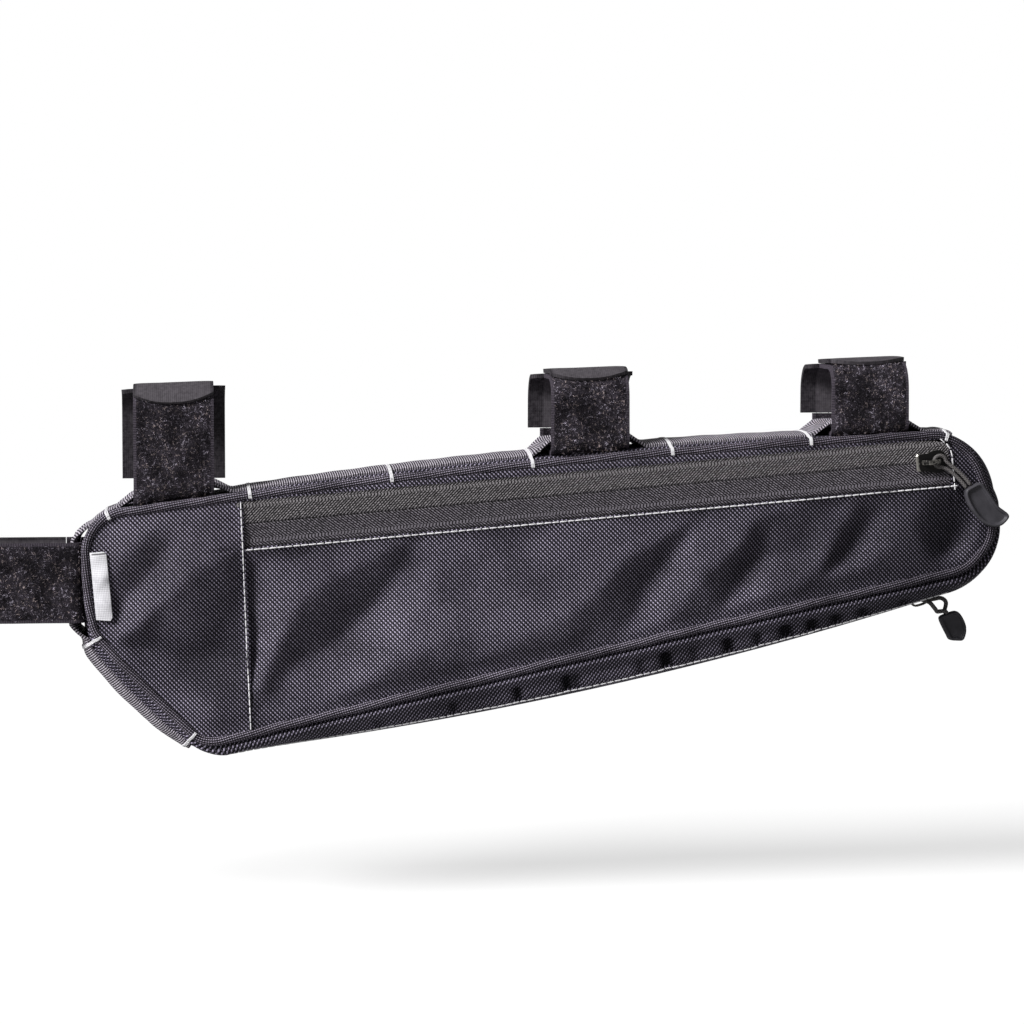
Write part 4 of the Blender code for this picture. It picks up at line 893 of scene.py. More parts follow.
def make_panels():
    flat, faces = panel_sheet([SEAM_LINE, ZIP_LOWER, ZIP_UPPER, ZIP_END], NEAR_SPACING)
    centre = flat[faces].mean(axis=1)
    ahead, below, above, behind = (left_of(*line, centre) for line in (SEAM_LINE, ZIP_LOWER, ZIP_UPPER, ZIP_END))
    main = (ahead <= 0) & ((below < 0) | (above > 0) | (behind < 0))
    panel("bag_side_near_front", -1, flat, faces[ahead > 0], "near_panel_front", SEAM_LINE)
    panel("bag_side_near", -1, flat, faces[main], "near_panel_main", ZIP_LOWER)
    flat, faces = panel_sheet([], FAR_SPACING)
    panel("bag_side_far", 1, flat, faces, "far_panel")


# Piping and gusset


def make_piping(name, side, node):
    sway = 0.12 * MM * np.sin(SEAM_RUN * 95) + 0.1 * MM * np.sin(SEAM_RUN * 233 + 1)
    line = SEAM + SEAM_OUT * sway[:, None]
    line = np.stack((line[:, 0], np.full(STATIONS, side * HALF_DEPTH), line[:, 1]), axis=1)
    keep(name, tube_mesh(name, line, PIPING_RADIUS, 14, closed=True), "piping_weave", nodes=(node,))


def section(index, limit, count):
    """Gusset section at a station, from the near edge towards the far one, evenly spaced."""
    power = ROUNDNESS[index % STATIONS]
    height = HEIGHT[index % STATIONS]
    angle = np.linspace(0, math.pi, 241)
    y = -GUSSET_EDGE * np.sign(np.cos(angle)) * np.abs(np.cos(angle)) ** (2 / power)
    h = height * np.abs(np.sin(angle)) ** (2 / power)
    if limit is not None:
        shown = y <= -limit
        y = y[shown]
        h = h[shown]
    run = run_lengths(np.stack((y, h), axis=1))
    even = np.linspace(0, run[-1], count)
    return np.interp(even, run, y), np.interp(even, run, h), even


# Puckers along the underside strips: X along the bag, half length, depth
PUCKERS = ((-0.108, 3.4, 0.5), (-0.072, 2.4, 0.9), (-0.041, 2.3, 1.3), (-0.0170, 2.2, 1.5), (-0.0125, 2.2, 0.8),
           (0.0190, 2.4, 0.7), (0.0316, 2.7, 1.9), (0.0452, 2.4, 0.6), (0.0621, 2.6, 1.6), (0.0765, 2.2, 1.0),
           (0.0907, 3.4, 1.7), (0.1035, 3.2, 1.4), (0.1155, 3.4, 1.2), (0.1290, 3.4, 1.1), (0.149, 3.0, 0.7))
STITCH_Y = 0.0198


def pucker(x, mirrored):
    """Depth of the puckers at a place along an underside strip."""
    shift = 0.008 if mirrored else 0.0
    return sum(1.7 * depth * MM * np.exp(-((x - place - shift) / (half * MM)) ** 2)
               for place, half, depth in PUCKERS)


def station(index, count, limit):
    """Seam point, outward normal, run and section at a place between two stations."""
    i = int(math.floor(index))
    t = index - i
    a, b = i % STATIONS, (i + 1) % STATIONS

    def between(values):
        return values[a] + (values[b] - values[a]) * t
    y, h, along = section(a, limit, count)
    if t:
        y, h, along = (p + (q - p) * t for p, q in zip((y, h, along), section(b, limit, count)))
    out = between(SEAM_OUT)
    run = SEAM_RUN[a] + np.linalg.norm(SEAM[b] - SEAM[a]) * t
    return between(SEAM), out / np.linalg.norm(out), run, between(BOXY), y, h, along


def edge_lift(along, edge, boxy):
    """Rise of the cloth beside a piping: a swell along the bottom, a welt and a groove elsewhere."""
    swell = 3.5 * MM * np.exp(-((along - 4.7 * MM) / (2.6 * MM)) ** 2) * ease(along / (2.0 * MM))
    welt = 1.1 * MM * np.exp(-((along - 3.4 * MM) / (1.5 * MM)) ** 2)
    groove = -0.6 * MM * np.exp(-((along - 6.0 * MM) / (0.8 * MM)) ** 2)
    return swell * boxy + (welt + groove) * ease(edge / (0.8 * MM) + 0.2) * (1 - boxy)


def gusset_row(index, limit, mirrored, count):
    """One row across the gusset, or across one strip beside the underside zip."""
    seam, out, run, boxy, y, h, along = station(index, count, limit)
    edge = GUSSET_EDGE - np.abs(y)
    lift = edge_lift(along, edge, boxy)
    hollow = np.zeros(len(y))
    if limit is None:
        lift = lift + edge_lift(along[-1] - along, edge, boxy)
    else:
        sewn = np.interp(-STITCH_Y, y, along)
        side = ease((along - 6.5 * MM) / (3.0 * MM)) * ease((sewn - along) / (1.2 * MM))
        dent = pucker(seam[0], mirrored) * side
        lift = lift - dent
        # Painted shade in the puckers' dimples, darkest where they are deepest.
        hollow = np.clip(dent / (2.0 * MM), 0, 1) * 0.9
    slope = np.gradient(h, along)
    place = seam + np.outer(h + lift * np.sqrt(np.maximum(0.0, 1 - slope ** 2)), out)
    wide = y + lift * np.where(y < 0, -np.abs(slope), np.abs(slope))
    row = np.stack((place[:, 0], -wide if mirrored else wide, place[:, 1]), axis=1)
    return row, np.stack((np.full(len(y), run), along), axis=1), hollow


def gusset_grid(indices, limit, mirrored=False, count=56):
    return zip(*[gusset_row(index, limit, mirrored, count) for index in indices])


def make_gusset():
    first = MARKS[5] + 1
    last = MARKS[6]
    rows, flat, _ = gusset_grid(range(last, STATIONS + first + 1), None)
    nodes = ("gusset_top", "gusset_front", "gusset_rear")
    sheet("bag_gusset", grid_mesh("gusset", rows, flat), "black_weave", CLOTH, nodes)
    for name, mirrored in (("near", False), ("far", True)):
        rows, flat, hollow = gusset_grid(np.arange(first, last + 0.01, 0.5), UNDER_ZIP_SHOWN, mirrored, 34)
        mesh = grid_mesh("strip", rows, flat)
        mark_painted_shade(mesh, hollow)
        sheet(f"bag_underside_{name}", mesh, "black_weave", CLOTH, (f"gusset_bottom_{name}",))


# Section of the tape that binds a seam's allowance: distance from the middle plane, and depth in millimetres
BINDING = ((0.0202, 0.0), (0.0202, 1.1), (0.0165, 1.25), (0.0128, 1.1), (0.0128, 0.0), (0.0202, 0.0))


def make_bindings():
    flat = [[(run, k * 2 * MM) for k in range(len(BINDING))] for run in SEAM_RUN[::2]]
    for name, side in (("near", -1), ("far", 1)):
        rows = []
        for seam, out in zip(SEAM[::2], SEAM_OUT[::2]):
            places = [(seam - out * (0.6 + depth) * MM, y) for y, depth in BINDING]
            rows.append([(place[0], side * y, place[1]) for place, y in places])
        mesh = tidy(grid_mesh("binding", rows, flat, closed=True))
        keep(f"bag_seam_binding_{name}", mesh, "webbing", nodes=(f"seam_binding_{name}",))


# Zips


class SideZip:
    middle = (0.0, 0.1, -0.05)

    def place(self, along, across, out):
        x, z = zip_place(along, across)
        return (x, -TAPE_Y - out, z)


class UnderZip:
    middle = (0.0, 0.0, -0.02)

    def __init__(self):
        places = [Vector(c[:2]) for c in KEEL_CORNERS]
        start = corner_round(places, 2, KEEL_CORNERS[2][2])[1]
        end = corner_round(places, 3, KEEL_CORNERS[3][2])[0]
        self.centre, radius = bow_circle(start, end, KEEL_CORNERS[2][3])
        self.radius = radius - WALL - UNDER_ZIP_DEPTH
        self.start = -math.acos((UNDER_SLIDER_X - self.centre[0]) / self.radius)

    def place(self, along, across, out):
        angle = self.start + along / self.radius
        reach = self.radius + out
        return (self.centre[0] + reach * math.cos(angle), across, self.centre[1] + reach * math.sin(angle))

    def along_at(self, x):
        return (-math.acos((x - self.centre[0]) / self.radius) - self.start) * self.radius


SIDE = SideZip()
UNDER = UnderZip()


def upper_reach(stops):
    """How far above the zip line the tape runs before it meets the piping."""
    reach = np.full(len(stops), ZIP_SHOWN)
    for _ in range(20):
        reach += seam_distance(np.stack(zip_place(stops, reach), axis=1)) - PANEL_INSET
    return reach


def tape(zip_name, label, start, end, edges):
    """Zip tape from the join out to its edge, slightly swollen over the coil behind it."""
    name = f"zip_{zip_name}_tape_{label}"
    frame_of = SIDE if zip_name == "side" else UNDER
    stops = np.linspace(start, end, max(2, round((end - start) / (3 * MM))))
    lows, highs = (np.broadcast_to(edge(stops) if callable(edge) else edge, stops.shape) for edge in edges)

    def spot(stop, share):
        along, low, high = stop
        across = low + (high - low) * share
        rise = 0.15 * MM * math.exp(-(across / (2.6 * MM)) ** 2)
        return frame_of.place(along, across, rise), (along, across)
    mesh = skin(name, zip(stops, lows, highs), 13, spot)
    sheet(name, mesh, "zip_tape", ZIP_TAPE, (f"{zip_name}_zip_tape_{label}",), frame_of.middle)


def make_zips():
    join = 0.12 * MM
    rear = ZIP_REAR - GAP
    first, last = (UNDER.along_at(x) for x in UNDER_ZIP_ENDS)
    half = UNDER_ZIP_SHOWN + 0.002
    tape("side", "upper", -0.003, rear, (join, upper_reach))
    tape("side", "lower", -0.003, rear, (-0.016, -join))
    tape("under", "near", first - 0.002, last + 0.002, (-half, -join))
    tape("under", "far", first - 0.002, last + 0.002, (join, half))
    for zip_name, frame_of, start, end in (("side", SIDE, 0.0012, rear), ("under", UNDER, first, last)):
        names = ("lower", "upper") if zip_name == "side" else ("near", "far")
        for label, sign in zip(names, (-1, 1)):
            line = [frame_of.place(s, sign * COIL_ACROSS, -COIL_DEPTH) for s in np.arange(start, end, 4 * MM)]
            coil(f"zip_{zip_name}_coil_{label}", line, f"{zip_name}_zip_coil_{label}")


# Repeated things


def open_tree(name, *labels):
    """Geometry tree with named numbers to set; also what comes in, in that order."""
    tree = bpy.data.node_groups.new(name, "GeometryNodeTree")
    tree.interface.new_socket("Geometry", in_out="INPUT", socket_type="NodeSocketGeometry")
    for label in labels:
        tree.interface.new_socket(label, in_out="INPUT", socket_type="NodeSocketFloat")
    tree.interface.new_socket("Geometry", in_out="OUTPUT", socket_type="NodeSocketGeometry")
    net = Net(tree, "GeometryNode")
    entry = tree.nodes.new("NodeGroupInput")
    return net, [Value(net, entry.outputs[k]) for k in range(len(labels) + 1)]


def close_tree(net, part, points, turn, size):
    """Set a part on points, as plain geometry in its own material."""
    shape = net.node("ObjectInfo", {}, {"Object": part}, "Geometry")
    placed = net.node("InstanceOnPoints", {}, {"Points": points, "Instance": shape, "Rotation": turn, "Scale": size})
    real = net.node("RealizeInstances", {}, {"Geometry": placed})
    finish = net.node("SetMaterial", {}, {"Geometry": real, "Material": part.data.materials[0]})
    leave = net.tree.nodes.new("NodeGroupOutput")
    net.tree.links.new(finish.socket, leave.inputs[0])
    return net.tree


def random_size(net, low, high, seed):
    return net.node("FunctionNodeRandomValue", {"data_type": "FLOAT"}, {2: low, 3: high, "Seed": seed}, 1)


def row_tree(name, part):
    """Tree that sets one part along a line at even steps, turned to the line's run."""
    net, (line, spacing, uneven) = open_tree(name, "Spacing", "Unevenness")
    line = net.node("MeshToCurve", {}, {"Mesh": line})
    line = net.node("ResampleCurve", {"mode": "LENGTH"}, {"Curve": line, "Length": spacing})
    points = net.node("CurveToPoints", {"mode": "EVALUATED"}, (line,))
    run = Value(net, points.socket.node.outputs[1])
    turn = net.node("FunctionNodeAlignRotationToVector", {"axis": "Z"}, {"Vector": run})
    return close_tree(net, part, points, turn, random_size(net, 1 - uneven, uneven + 1.0, 3))


def nap_tree(part, seed):
    """Tree that sets one part all over a skin, leaning every way."""
    net, (ground, density) = open_tree("nap", "Density")
    spread = net.node("DistributePointsOnFaces", {}, {"Mesh": ground, "Density": density, "Seed": seed}, "Points")
    lean = net.node("FunctionNodeRandomValue", {"data_type": "FLOAT_VECTOR"},
                    {0: (-0.9, -0.9, 0.0), 1: (0.9, 0.9, 6.283), "Seed": seed + 1})
    upright = Value(net, spread.socket.node.outputs["Rotation"])
    turn = net.node("FunctionNodeRotateRotation", {"rotation_space": "LOCAL"}, (upright, lean))
    return close_tree(net, part, spread, turn, random_size(net, 0.6, 1.5, seed + 2))


def grown(name, mesh, tree, **numbers):
    """Plain mesh that a tree makes of another one."""
    carrier = bpy.data.objects.new(name, mesh)
    bpy.context.collection.objects.link(carrier)
    modifier = carrier.modifiers.new("grown", "NODES")
    modifier.node_group = tree
    for item in tree.interface.items_tree:
        if item.in_out == "INPUT" and item.name in numbers:
            modifier[item.identifier] = numbers[item.name]
    graph = bpy.context.evaluated_depsgraph_get()
    result = bpy.data.meshes.new_from_object(carrier.evaluated_get(graph))
    bpy.data.objects.remove(carrier)
    return result


def row_of(name, lines, part, spacing, unevenness=0.0):
    """Plain mesh of a part repeated along lines of points."""
    mesh = bpy.data.meshes.new(name)
    points = []
    edges = []
    for line in lines:
        first = len(points)
        points += [tuple(p) for p in line]
        edges += [(k, k + 1) for k in range(first, len(points) - 1)]
    mesh.from_pydata(points, edges, [])
    return grown(name, mesh, row_tree(name, part), Spacing=spacing, Unevenness=unevenness)


def stitches(name, lines, length, radius, spacing, unevenness):
    """Threads along lines: each one a capsule with rounded ends."""
    turns = np.linspace(0, TURN, 7)
    rings = []
    flat = []
    for t, share in ((-0.5, 0.25), (-0.46, 0.75), (-0.3, 1.0), (0.3, 1.0), (0.46, 0.75), (0.5, 0.25)):
        size = share * radius
        rings.append([(size * math.cos(a), size * math.sin(a), t * length) for a in turns])
        flat.append([(t * length, a * radius) for a in turns])
    mesh = tidy(grid_mesh("stitch", rings, flat), ends=True)
    mesh.materials.append(WHITE_THREAD)
    part = bpy.data.objects.new("stitch", mesh)
    keep(name, row_of(name, lines, part, spacing, unevenness), "tag_cloth", material=WHITE_THREAD)


def coil(name, line, node):
    """Half of the coil: a run of flat nylon loops."""
    turns = [TURN * k / 8 for k in range(9)]
    loop = [(1.25 * MM * math.cos(a), 0.85 * MM * math.sin(a), 0.55 * MM * (a / TURN - 0.5)) for a in turns]
    mesh = tube_mesh("coil_turn", loop, 0.32 * MM, 5, start_side=(0.0, 0.0, 1.0))
    mesh.materials.append(SHADES["zip_coil"])
    part = bpy.data.objects.new("coil_turn", mesh)
    keep(name, row_of(name, [line], part, 1.5 * MM), "zip_coil", nodes=(node,))


def panel_line(points, lift):
    """Places just over the near panel's outer face."""
    flat = dense(points)
    return [(x, -out - HEM_RISE - lift, z) for (x, z), out in zip(flat, panel_out(flat))]


def make_stitches():
    below = -ZIP_SHOWN - 0.6 * MM
    behind = ZIP_REAR + 0.9 * MM
    lower = [zip_place(0.0015, below), zip_place(ZIP_REAR + 0.6 * MM, below)]
    rear = [zip_place(behind, -ZIP_SHOWN - 0.9 * MM), zip_place(behind, 5.5 * MM),
            zip_place(ZIP_REAR - 3.0 * MM, 9.8 * MM)]
    low, high = SEAM_LINE
    seam = [(high[0] - 1.0 * MM, -0.0425), (low[0] - 1.0 * MM, -0.1478)]
    lines = [panel_line(line, 0.5 * MM) for line in (lower, rear, seam)]
    stitches("stitches_side", lines, 3.45 * MM, THREAD_RADIUS, 3.75 * MM, 0.06)
    lines = []
    for mirrored, side in ((False, -1.0), (True, 1.0)):
        line = []
        for i in range(MARKS[5] + 2, MARKS[6] - 1):
            row = gusset_row(i, UNDER_ZIP_SHOWN, mirrored, 80)[0]
            k = int(np.argmin(np.abs(section(i, UNDER_ZIP_SHOWN, 80)[0] + STITCH_Y)))
            run = Vector(row[k + 1] - row[k - 1]).normalized()
            out = Vector((SEAM_OUT[i][0] * 2, side, SEAM_OUT[i][1] * 2))
            out = (out - run * out.dot(run)).normalized()
            line.append(Vector(row[k]) + out * 0.3 * MM)
        lines.append(line)
    stitches("stitches_under", lines, 3.3 * MM, THREAD_RADIUS, 3.6 * MM, 0.06)


# Webbing chain


class Track:
    """Middle line of the gusset from its rear top over the top, down the front and under the nose."""

    def __init__(self):
        self.order = list(range(MARKS[8], STATIONS)) + list(range(MARKS[5] + 1))
        self.keel = np.array([SEAM[i] + SEAM_OUT[i] * HEIGHT[i] for i in self.order])
        self.lengths = run_lengths(self.keel)

    def between(self, distance, value):
        """A value between the two stations that a distance lies between."""
        i = int(np.clip(np.searchsorted(self.lengths, distance) - 1, 0, len(self.lengths) - 2))
        share = (distance - self.lengths[i]) / (self.lengths[i + 1] - self.lengths[i])
        low, high = (value(index) for index in self.order[i:i + 2])
        return low + (high - low) * share

    def where(self, axis, value):
        """Distance at which the line passes a value of X or Z."""
        line = self.keel[:, axis]
        i = np.flatnonzero((line[:-1] >= value) & (value > line[1:]))[0]
        share = (line[i] - value) / (line[i] - line[i + 1])
        return self.lengths[i] + (self.lengths[i + 1] - self.lengths[i]) * share

    def place(self, distance, y, extra):
        x, z = self.between(distance, lambda i: SEAM[i] + SEAM_OUT[i] * (HEIGHT[i] * face_share(i, y) + extra))
        return np.array((x, y, z))

    def drop(self, distance, y):
        """How far the face lies below its middle."""
        return self.between(distance, lambda i: HEIGHT[i] * (1 - face_share(i, y)))

    def beside(self, distance, y, out):
        """Place at a height over the seam itself."""
        first = max(np.searchsorted(self.lengths, distance) - 1, 0)
        x, z = self.between(distance, lambda i: SEAM[i]) + SEAM_OUT[self.order[first]] * out
        return np.array((x, y, z))


def face_share(index, y):
    """Height of the gusset's face at a distance from its middle, as a share of its full height."""
    power = ROUNDNESS[index]
    return (1 - min(1.0, abs(y) / GUSSET_EDGE) ** power) ** (1 / power)


TRACK = Track()
STRAP_ZONES = [(TRACK.where(axis, middle + STRAP_WIDTH / 2), TRACK.where(axis, middle - STRAP_WIDTH / 2))
               for axis, middle in [(0, x) for x in TOP_STRAP_X.values()] + [(1, HEAD_STRAP_Z)]]


def webbing_lift(stop, y, extra):
    """Height of the webbing's face over the gusset: it rises over each strap, its edges curled down."""
    away = min(max(first - stop, stop - last, 0.0) for first, last in STRAP_ZONES) - GAP
    share = max(0.0, min(1.0, 1 - away / WEBBING_CLIMB))
    curl = WEBBING_CURL * (abs(y) / WEBBING_HALF) ** 4
    return GAP + share * (STRAP_THICKNESS + GAP + TRACK.drop(stop, y) + curl) + extra


def make_webbing():
    start = TRACK.where(0, REAR_TACK_X)
    end = start + TACK_PITCH * (TACKS - 1) + 0.004

    def spot(stop, share):
        y = -WEBBING_HALF + 2 * WEBBING_HALF * share
        wave = 0.12 * MM * math.sin(stop * 310 + y * 90)
        return TRACK.place(stop, y, webbing_lift(stop, y, 1.5 * MM + wave)), (stop, y)
    mesh = skin("webbing", np.arange(start - 0.004, end, 1.5 * MM), 25, spot)
    sheet("strap_webbing_chain", mesh, "webbing", WEBBING, ("webbing_chain",))
    lines = [tack_line(start + TACK_PITCH * k + shift * MM) for k in range(TACKS) for shift in (-0.55, 0, 0.55)]
    stitches("tacks", lines, 2.0 * MM, TACK_THREAD_RADIUS, 1.5 * MM, 0.08)


def tack_line(stop):
    """Thread over the webbing, down beside it and half round each piping."""
    radius = PIPING_RADIUS + 0.25 * MM
    turns = [math.radians(a) for a in (-10, 10, 30, 50, 70, 90, 112)]
    near, far = ([TRACK.beside(stop, side * (HALF_DEPTH + radius * math.cos(a)), radius * math.sin(a))
                  for a in turns] for side in (-1, 1))
    over = [(2 * j / 28 - 1) * WEBBING_HALF for j in range(29)]
    return near + [TRACK.place(stop, y, webbing_lift(stop, y, 1.65 * MM)) for y in over] + far[::-1]


# Straps


class TopStrap:
    def __init__(self, x):
        self.middle = x

    def low(self, w):
        distance = TRACK.where(0, w)
        return TRACK.place(distance, 0.0, 0.0)[2], lambda y: TRACK.drop(distance, y)

    def high(self, w):
        return BAR_LINE_Z + w * math.tan(BAR_SLOPE)

    def place(self, w, y, u):
        return (w, y, u)


class HeadStrap:
    middle = HEAD_STRAP_Z

    def low(self, w):
        distance = TRACK.where(1, w)
        return -TRACK.place(distance, 0.0, 0.0)[0], lambda y: TRACK.drop(distance, y)

    def high(self, w):
        return self.low(self.middle)[0] + HEAD_STRAP_LENGTH

    def place(self, w, y, u):
        return (-u, y, w)


SHOULDER_Y = STRAP_HALF_DEPTH - STRAP_THICKNESS - STRAP_SHOULDER
FOOT_Y = STRAP_HALF_DEPTH - STRAP_THICKNESS - STRAP_FOOT


def turn_points(centre, radius, start, end, steps):
    turns = np.radians(np.linspace(start, end, steps + 1))
    return [(centre[0] + radius * math.cos(t), centre[1] + radius * math.sin(t)) for t in turns]


def shoulder(side, high, rise, start, end, steps):
    """Turn over the bar's shoulder."""
    return turn_points((side * SHOULDER_Y, high - STRAP_SHOULDER), STRAP_SHOULDER + rise, start, end, steps)


def loop_outer(strap, w):
    """Outer face of the loop tape's section, from its splice over the near side and under the webbing."""
    low, drop = strap.low(w)
    high = strap.high(w)

    def run(y):
        return low + GAP - 0.8 * drop(y)
    turn = STRAP_THICKNESS + STRAP_FOOT
    foot = run(FOOT_Y) + turn
    line = [(SPLICE, high + STRAP_THICKNESS)]
    line += shoulder(-1, high, STRAP_THICKNESS, 90, 180, 10)
    line += turn_points((-FOOT_Y, foot), turn, 180, 270, 5)
    line += [(y, run(y)) for y in np.linspace(-FOOT_Y * 0.8, FOOT_Y * 0.8, 7)]
    line += turn_points((FOOT_Y, foot), turn, 270, 360, 5)
    return line + [(STRAP_HALF_DEPTH, strap.low(strap.middle)[0] + FAR_JOIN)]


def base_outer(strap, w):
    """Outer face of the hook tape's far part, up the far side and over the bar."""
    high = strap.high(w)
    line = [(STRAP_HALF_DEPTH, strap.low(strap.middle)[0] + FAR_JOIN + GAP)]
    line += shoulder(1, high, STRAP_THICKNESS, 0, 90, 10)
    return line + [(SPLICE + GAP, high + STRAP_THICKNESS)]


def tab_outer(strap, w, reach):
    """Outer face of the hook tape's end, that lies over the loop tape and peels."""
    rise = 2 * STRAP_THICKNESS + GAP
    high = strap.high(w)
    line = [(SPLICE + 0.0025, high + rise), (0.0, high + rise)]
    return line + shoulder(-1, high, rise, 90, 90 + reach, 12)


def band(name, strap, width, columns, line_at, slot_name, body, node, seed, wall=2.0 * MM):
    """A tape swept over its width, slightly uneven, with its wall inside."""
    shares = [2 * k / (columns - 1) - 1 for k in range(columns)]
    lines = [dense(line_at(strap.middle + share * width / 2)) for share in shares]
    count = max(len(line) for line in lines)
    rows = []
    flat = []
    for share, line in zip(shares, lines):
        w = strap.middle + share * width / 2
        spots = dense(line, count=count)
        normal = left_normals(spots)
        if np.sum((spots - (0.0, spots[:, 1].mean())) * normal) < 0:
            normal = -normal
        length = run_lengths(spots)
        wave = 0.18 * MM * np.sin(length * 190 + share * 1.3 + seed) - 0.25 * MM * abs(share) ** 8
        rows.append([strap.place(w, y, u) for y, u in spots + normal * wave[:, None]])
        flat.append([(s, share * width / 2) for s in length])
    middle = np.array(rows).reshape(-1, 3).mean(axis=0)
    return sheet(name, grid_mesh(name, rows, flat), slot_name, wall, (node,), middle, body)


def make_strap(name, strap, base_width, reach, body):
    def tab_at(w):
        away = abs(w - strap.middle) / (STRAP_WIDTH / 2)
        return tab_outer(strap, w, reach - 20 * away ** 2.5)
    loop = band(f"{name}_loop_tape", strap, STRAP_WIDTH, 25, lambda w: loop_outer(strap, w), "loop_tape", "bag",
                f"{name}_loop", reach)
    band(f"{name}_far_tape", strap, base_width, 17, lambda w: base_outer(strap, w), "hook_tape", "bag",
         f"{name}_base", reach + 1)
    band(f"{name}_hook_tab", strap, STRAP_WIDTH, 21, tab_at, "hook_tape", body, f"{name}_tab", reach + 2, 1.9 * MM)
    return loop


def make_straps():
    loops = [make_strap(f"top_strap_{name}", TopStrap(x), BASE_WIDTH, TOP_TAB_REACH[name], f"{name}_tab")
             for name, x in TOP_STRAP_X.items()]
    loops.append(make_strap("head_strap", HeadStrap(), STRAP_WIDTH, HEAD_TAB_REACH, "head_tab"))
    for number, loop in enumerate(loops):
        make_nap(loop, number)


def fibre_part():
    """One curled thread of the nap."""
    half = 0.055 * MM
    points = []
    for k in range(6):
        angle = math.pi * 1.35 * k / 5
        x = 0.42 * MM * (1 - math.cos(angle))
        z = 0.62 * MM * math.sin(angle) + 0.1 * MM
        points += [(x, -half, z), (x, half, z), (x + half * 1.2, 0.0, z + half * 1.2)]
    faces = [(3 * k + j, 3 * k + (j + 1) % 3, 3 * k + (j + 1) % 3 + 3, 3 * k + j + 3)
             for k in range(5) for j in range(3)]
    mesh = mesh_of("fibre", points, faces, [(0.0, 0.0)] * len(points))
    mesh.materials.append(FIBRE)
    return bpy.data.objects.new("fibre", mesh)


def make_nap(loop, number):
    """Short curled fibres over the loop tape's outer face, clear of its selvages."""
    ground = loop.data.copy()
    with editing(ground) as work:
        flat = work.loops.layers.uv.active
        unwanted = [face for face in work.faces if max(abs(corner[flat].uv[1]) for corner in face.loops) > NAP_HALF]
        bmesh.ops.delete(work, geom=unwanted, context="FACES")
    nap = grown("nap_ground", ground, nap_tree(fibre_part(), 11 + number), Density=NAP_DENSITY)
    keep(loop.name.replace("loop_tape", "nap"), nap, "loop_tape", material=FIBRE)


# Sliders and pulls


def plate_shape():
    """Outline of a slider's plate: narrow behind, wide in front."""
    nose = 0.0056
    tail = 0.0043
    length = SLIDER_LENGTH
    upper = [(0.0, tail * 0.80), (length * 0.04, tail * 0.97), (length * 0.12, tail), (length * 0.36, tail),
             (length * 0.47, tail + (nose - tail) * 0.45), (length * 0.58, nose * 0.97), (length * 0.72, nose),
             (length * 0.84, nose * 0.97), (length * 0.94, nose * 0.78), (length, nose * 0.42)]
    return upper + [(s, -t) for s, t in upper[::-1]]


def prism(frame_of, along, flat, low, high, bevel):
    """Plate with eased edges, as points and faces."""
    centre = np.array(flat).mean(axis=0)
    rings = []
    for inset, out in ((bevel, low), (0.0, low + bevel), (0.0, high - bevel), (bevel, high)):
        ring = []
        for away in np.array(flat) - centre:
            spot = centre + away * (1 - inset / max(np.linalg.norm(away), 1e-6))
            ring.append(frame_of.place(along + spot[0], spot[1], out))
        rings.append(ring)
    return stacked(rings)


def squared(share):
    """Pull a sine or a cosine towards its ends, so that a circle turns boxy."""
    return math.copysign(abs(share) ** 0.6, share)


def bridge_part(frame_of, along, base):
    """Arched strip over the plate, that the cord runs under."""
    turns = [math.pi * (1 - k / 16) for k in range(17)]
    line = np.array([(0.0048 * squared(math.cos(a)), base + 0.0046 * math.sin(a) ** 0.8) for a in turns])
    rings = []
    for point, normal in zip(line, left_normals(line)):
        ring = []
        for k in range(10):
            angle = TURN * (k + 0.5) / 10
            s, out = point + normal * 0.00055 * (squared(math.sin(angle)) - 1)
            across = 0.0012 * squared(math.cos(angle))
            ring.append(frame_of.place(along + SLIDER_LENGTH / 2 + s, across, max(out, base - 0.0004)))
        rings.append(ring)
    return stacked(rings)


# Heights over the zip's face; the neck joins the plates, between the tapes
UPPER_PLATE = (0.0003, 0.0019)
LOWER_PLATE = (-0.0052, -0.0036)
NECK_HEIGHTS = (-0.0044, 0.0011)
NECK = ((0.0099, -0.0005), (0.0099, 0.0005), (0.0133, 0.0005), (0.0133, -0.0005))


def make_slider(name, frame_of, along, body, node):
    parts = [prism(frame_of, along, plate_shape(), *UPPER_PLATE, 0.00035),
             prism(frame_of, along, plate_shape(), *LOWER_PLATE, 0.00035),
             prism(frame_of, along, NECK, *NECK_HEIGHTS, 0.0001),
             bridge_part(frame_of, along, UPPER_PLATE[1] - 0.0004)]
    points = []
    faces = []
    wear = []
    for number, (spots, sides) in enumerate(parts):
        faces += [tuple(i + len(points) for i in face) for face in sides]
        points += spots
        for k in range(len(spots)):
            edge = 0.5 if number == 3 else 0.0
            if number == 0:
                count = len(spots) // 4
                edge = 0.55 if count <= k < 3 * count else 0.25
                if k % count in (0, 1, count - 1, count - 2):
                    edge = 0.9
            wear.append((edge, 0.0))
    mesh = closed(mesh_of(name, points, faces, wear))
    keep(name, mesh, "slider_metal", body, (node,))
    mesh.polygons.foreach_set("use_smooth", [False] * len(mesh.polygons))


CORD_RADIUS = 0.00095
EYE_RADIUS = 0.00285
CORD_NECK = EYE_RADIUS * 1.5
EYE_OFFSET = (0.0096 - 0.0011) / 2 - GAP
CORD_HEIGHT = GAP + 0.0016 + GAP + CORD_RADIUS
# Lengths of the cords, the angles at which they leave, and those at which their tabs hang
SIDE_CORD = 0.0185
SIDE_CORD_WAY = -33
SIDE_TAB_WAY = -56
UNDER_CORD = 0.0113
UNDER_CORD_WAY = -18
UNDER_TAB_WAY = -72


def way(degrees):
    return Vector((math.cos(math.radians(degrees)), 0.0, math.sin(math.radians(degrees))))


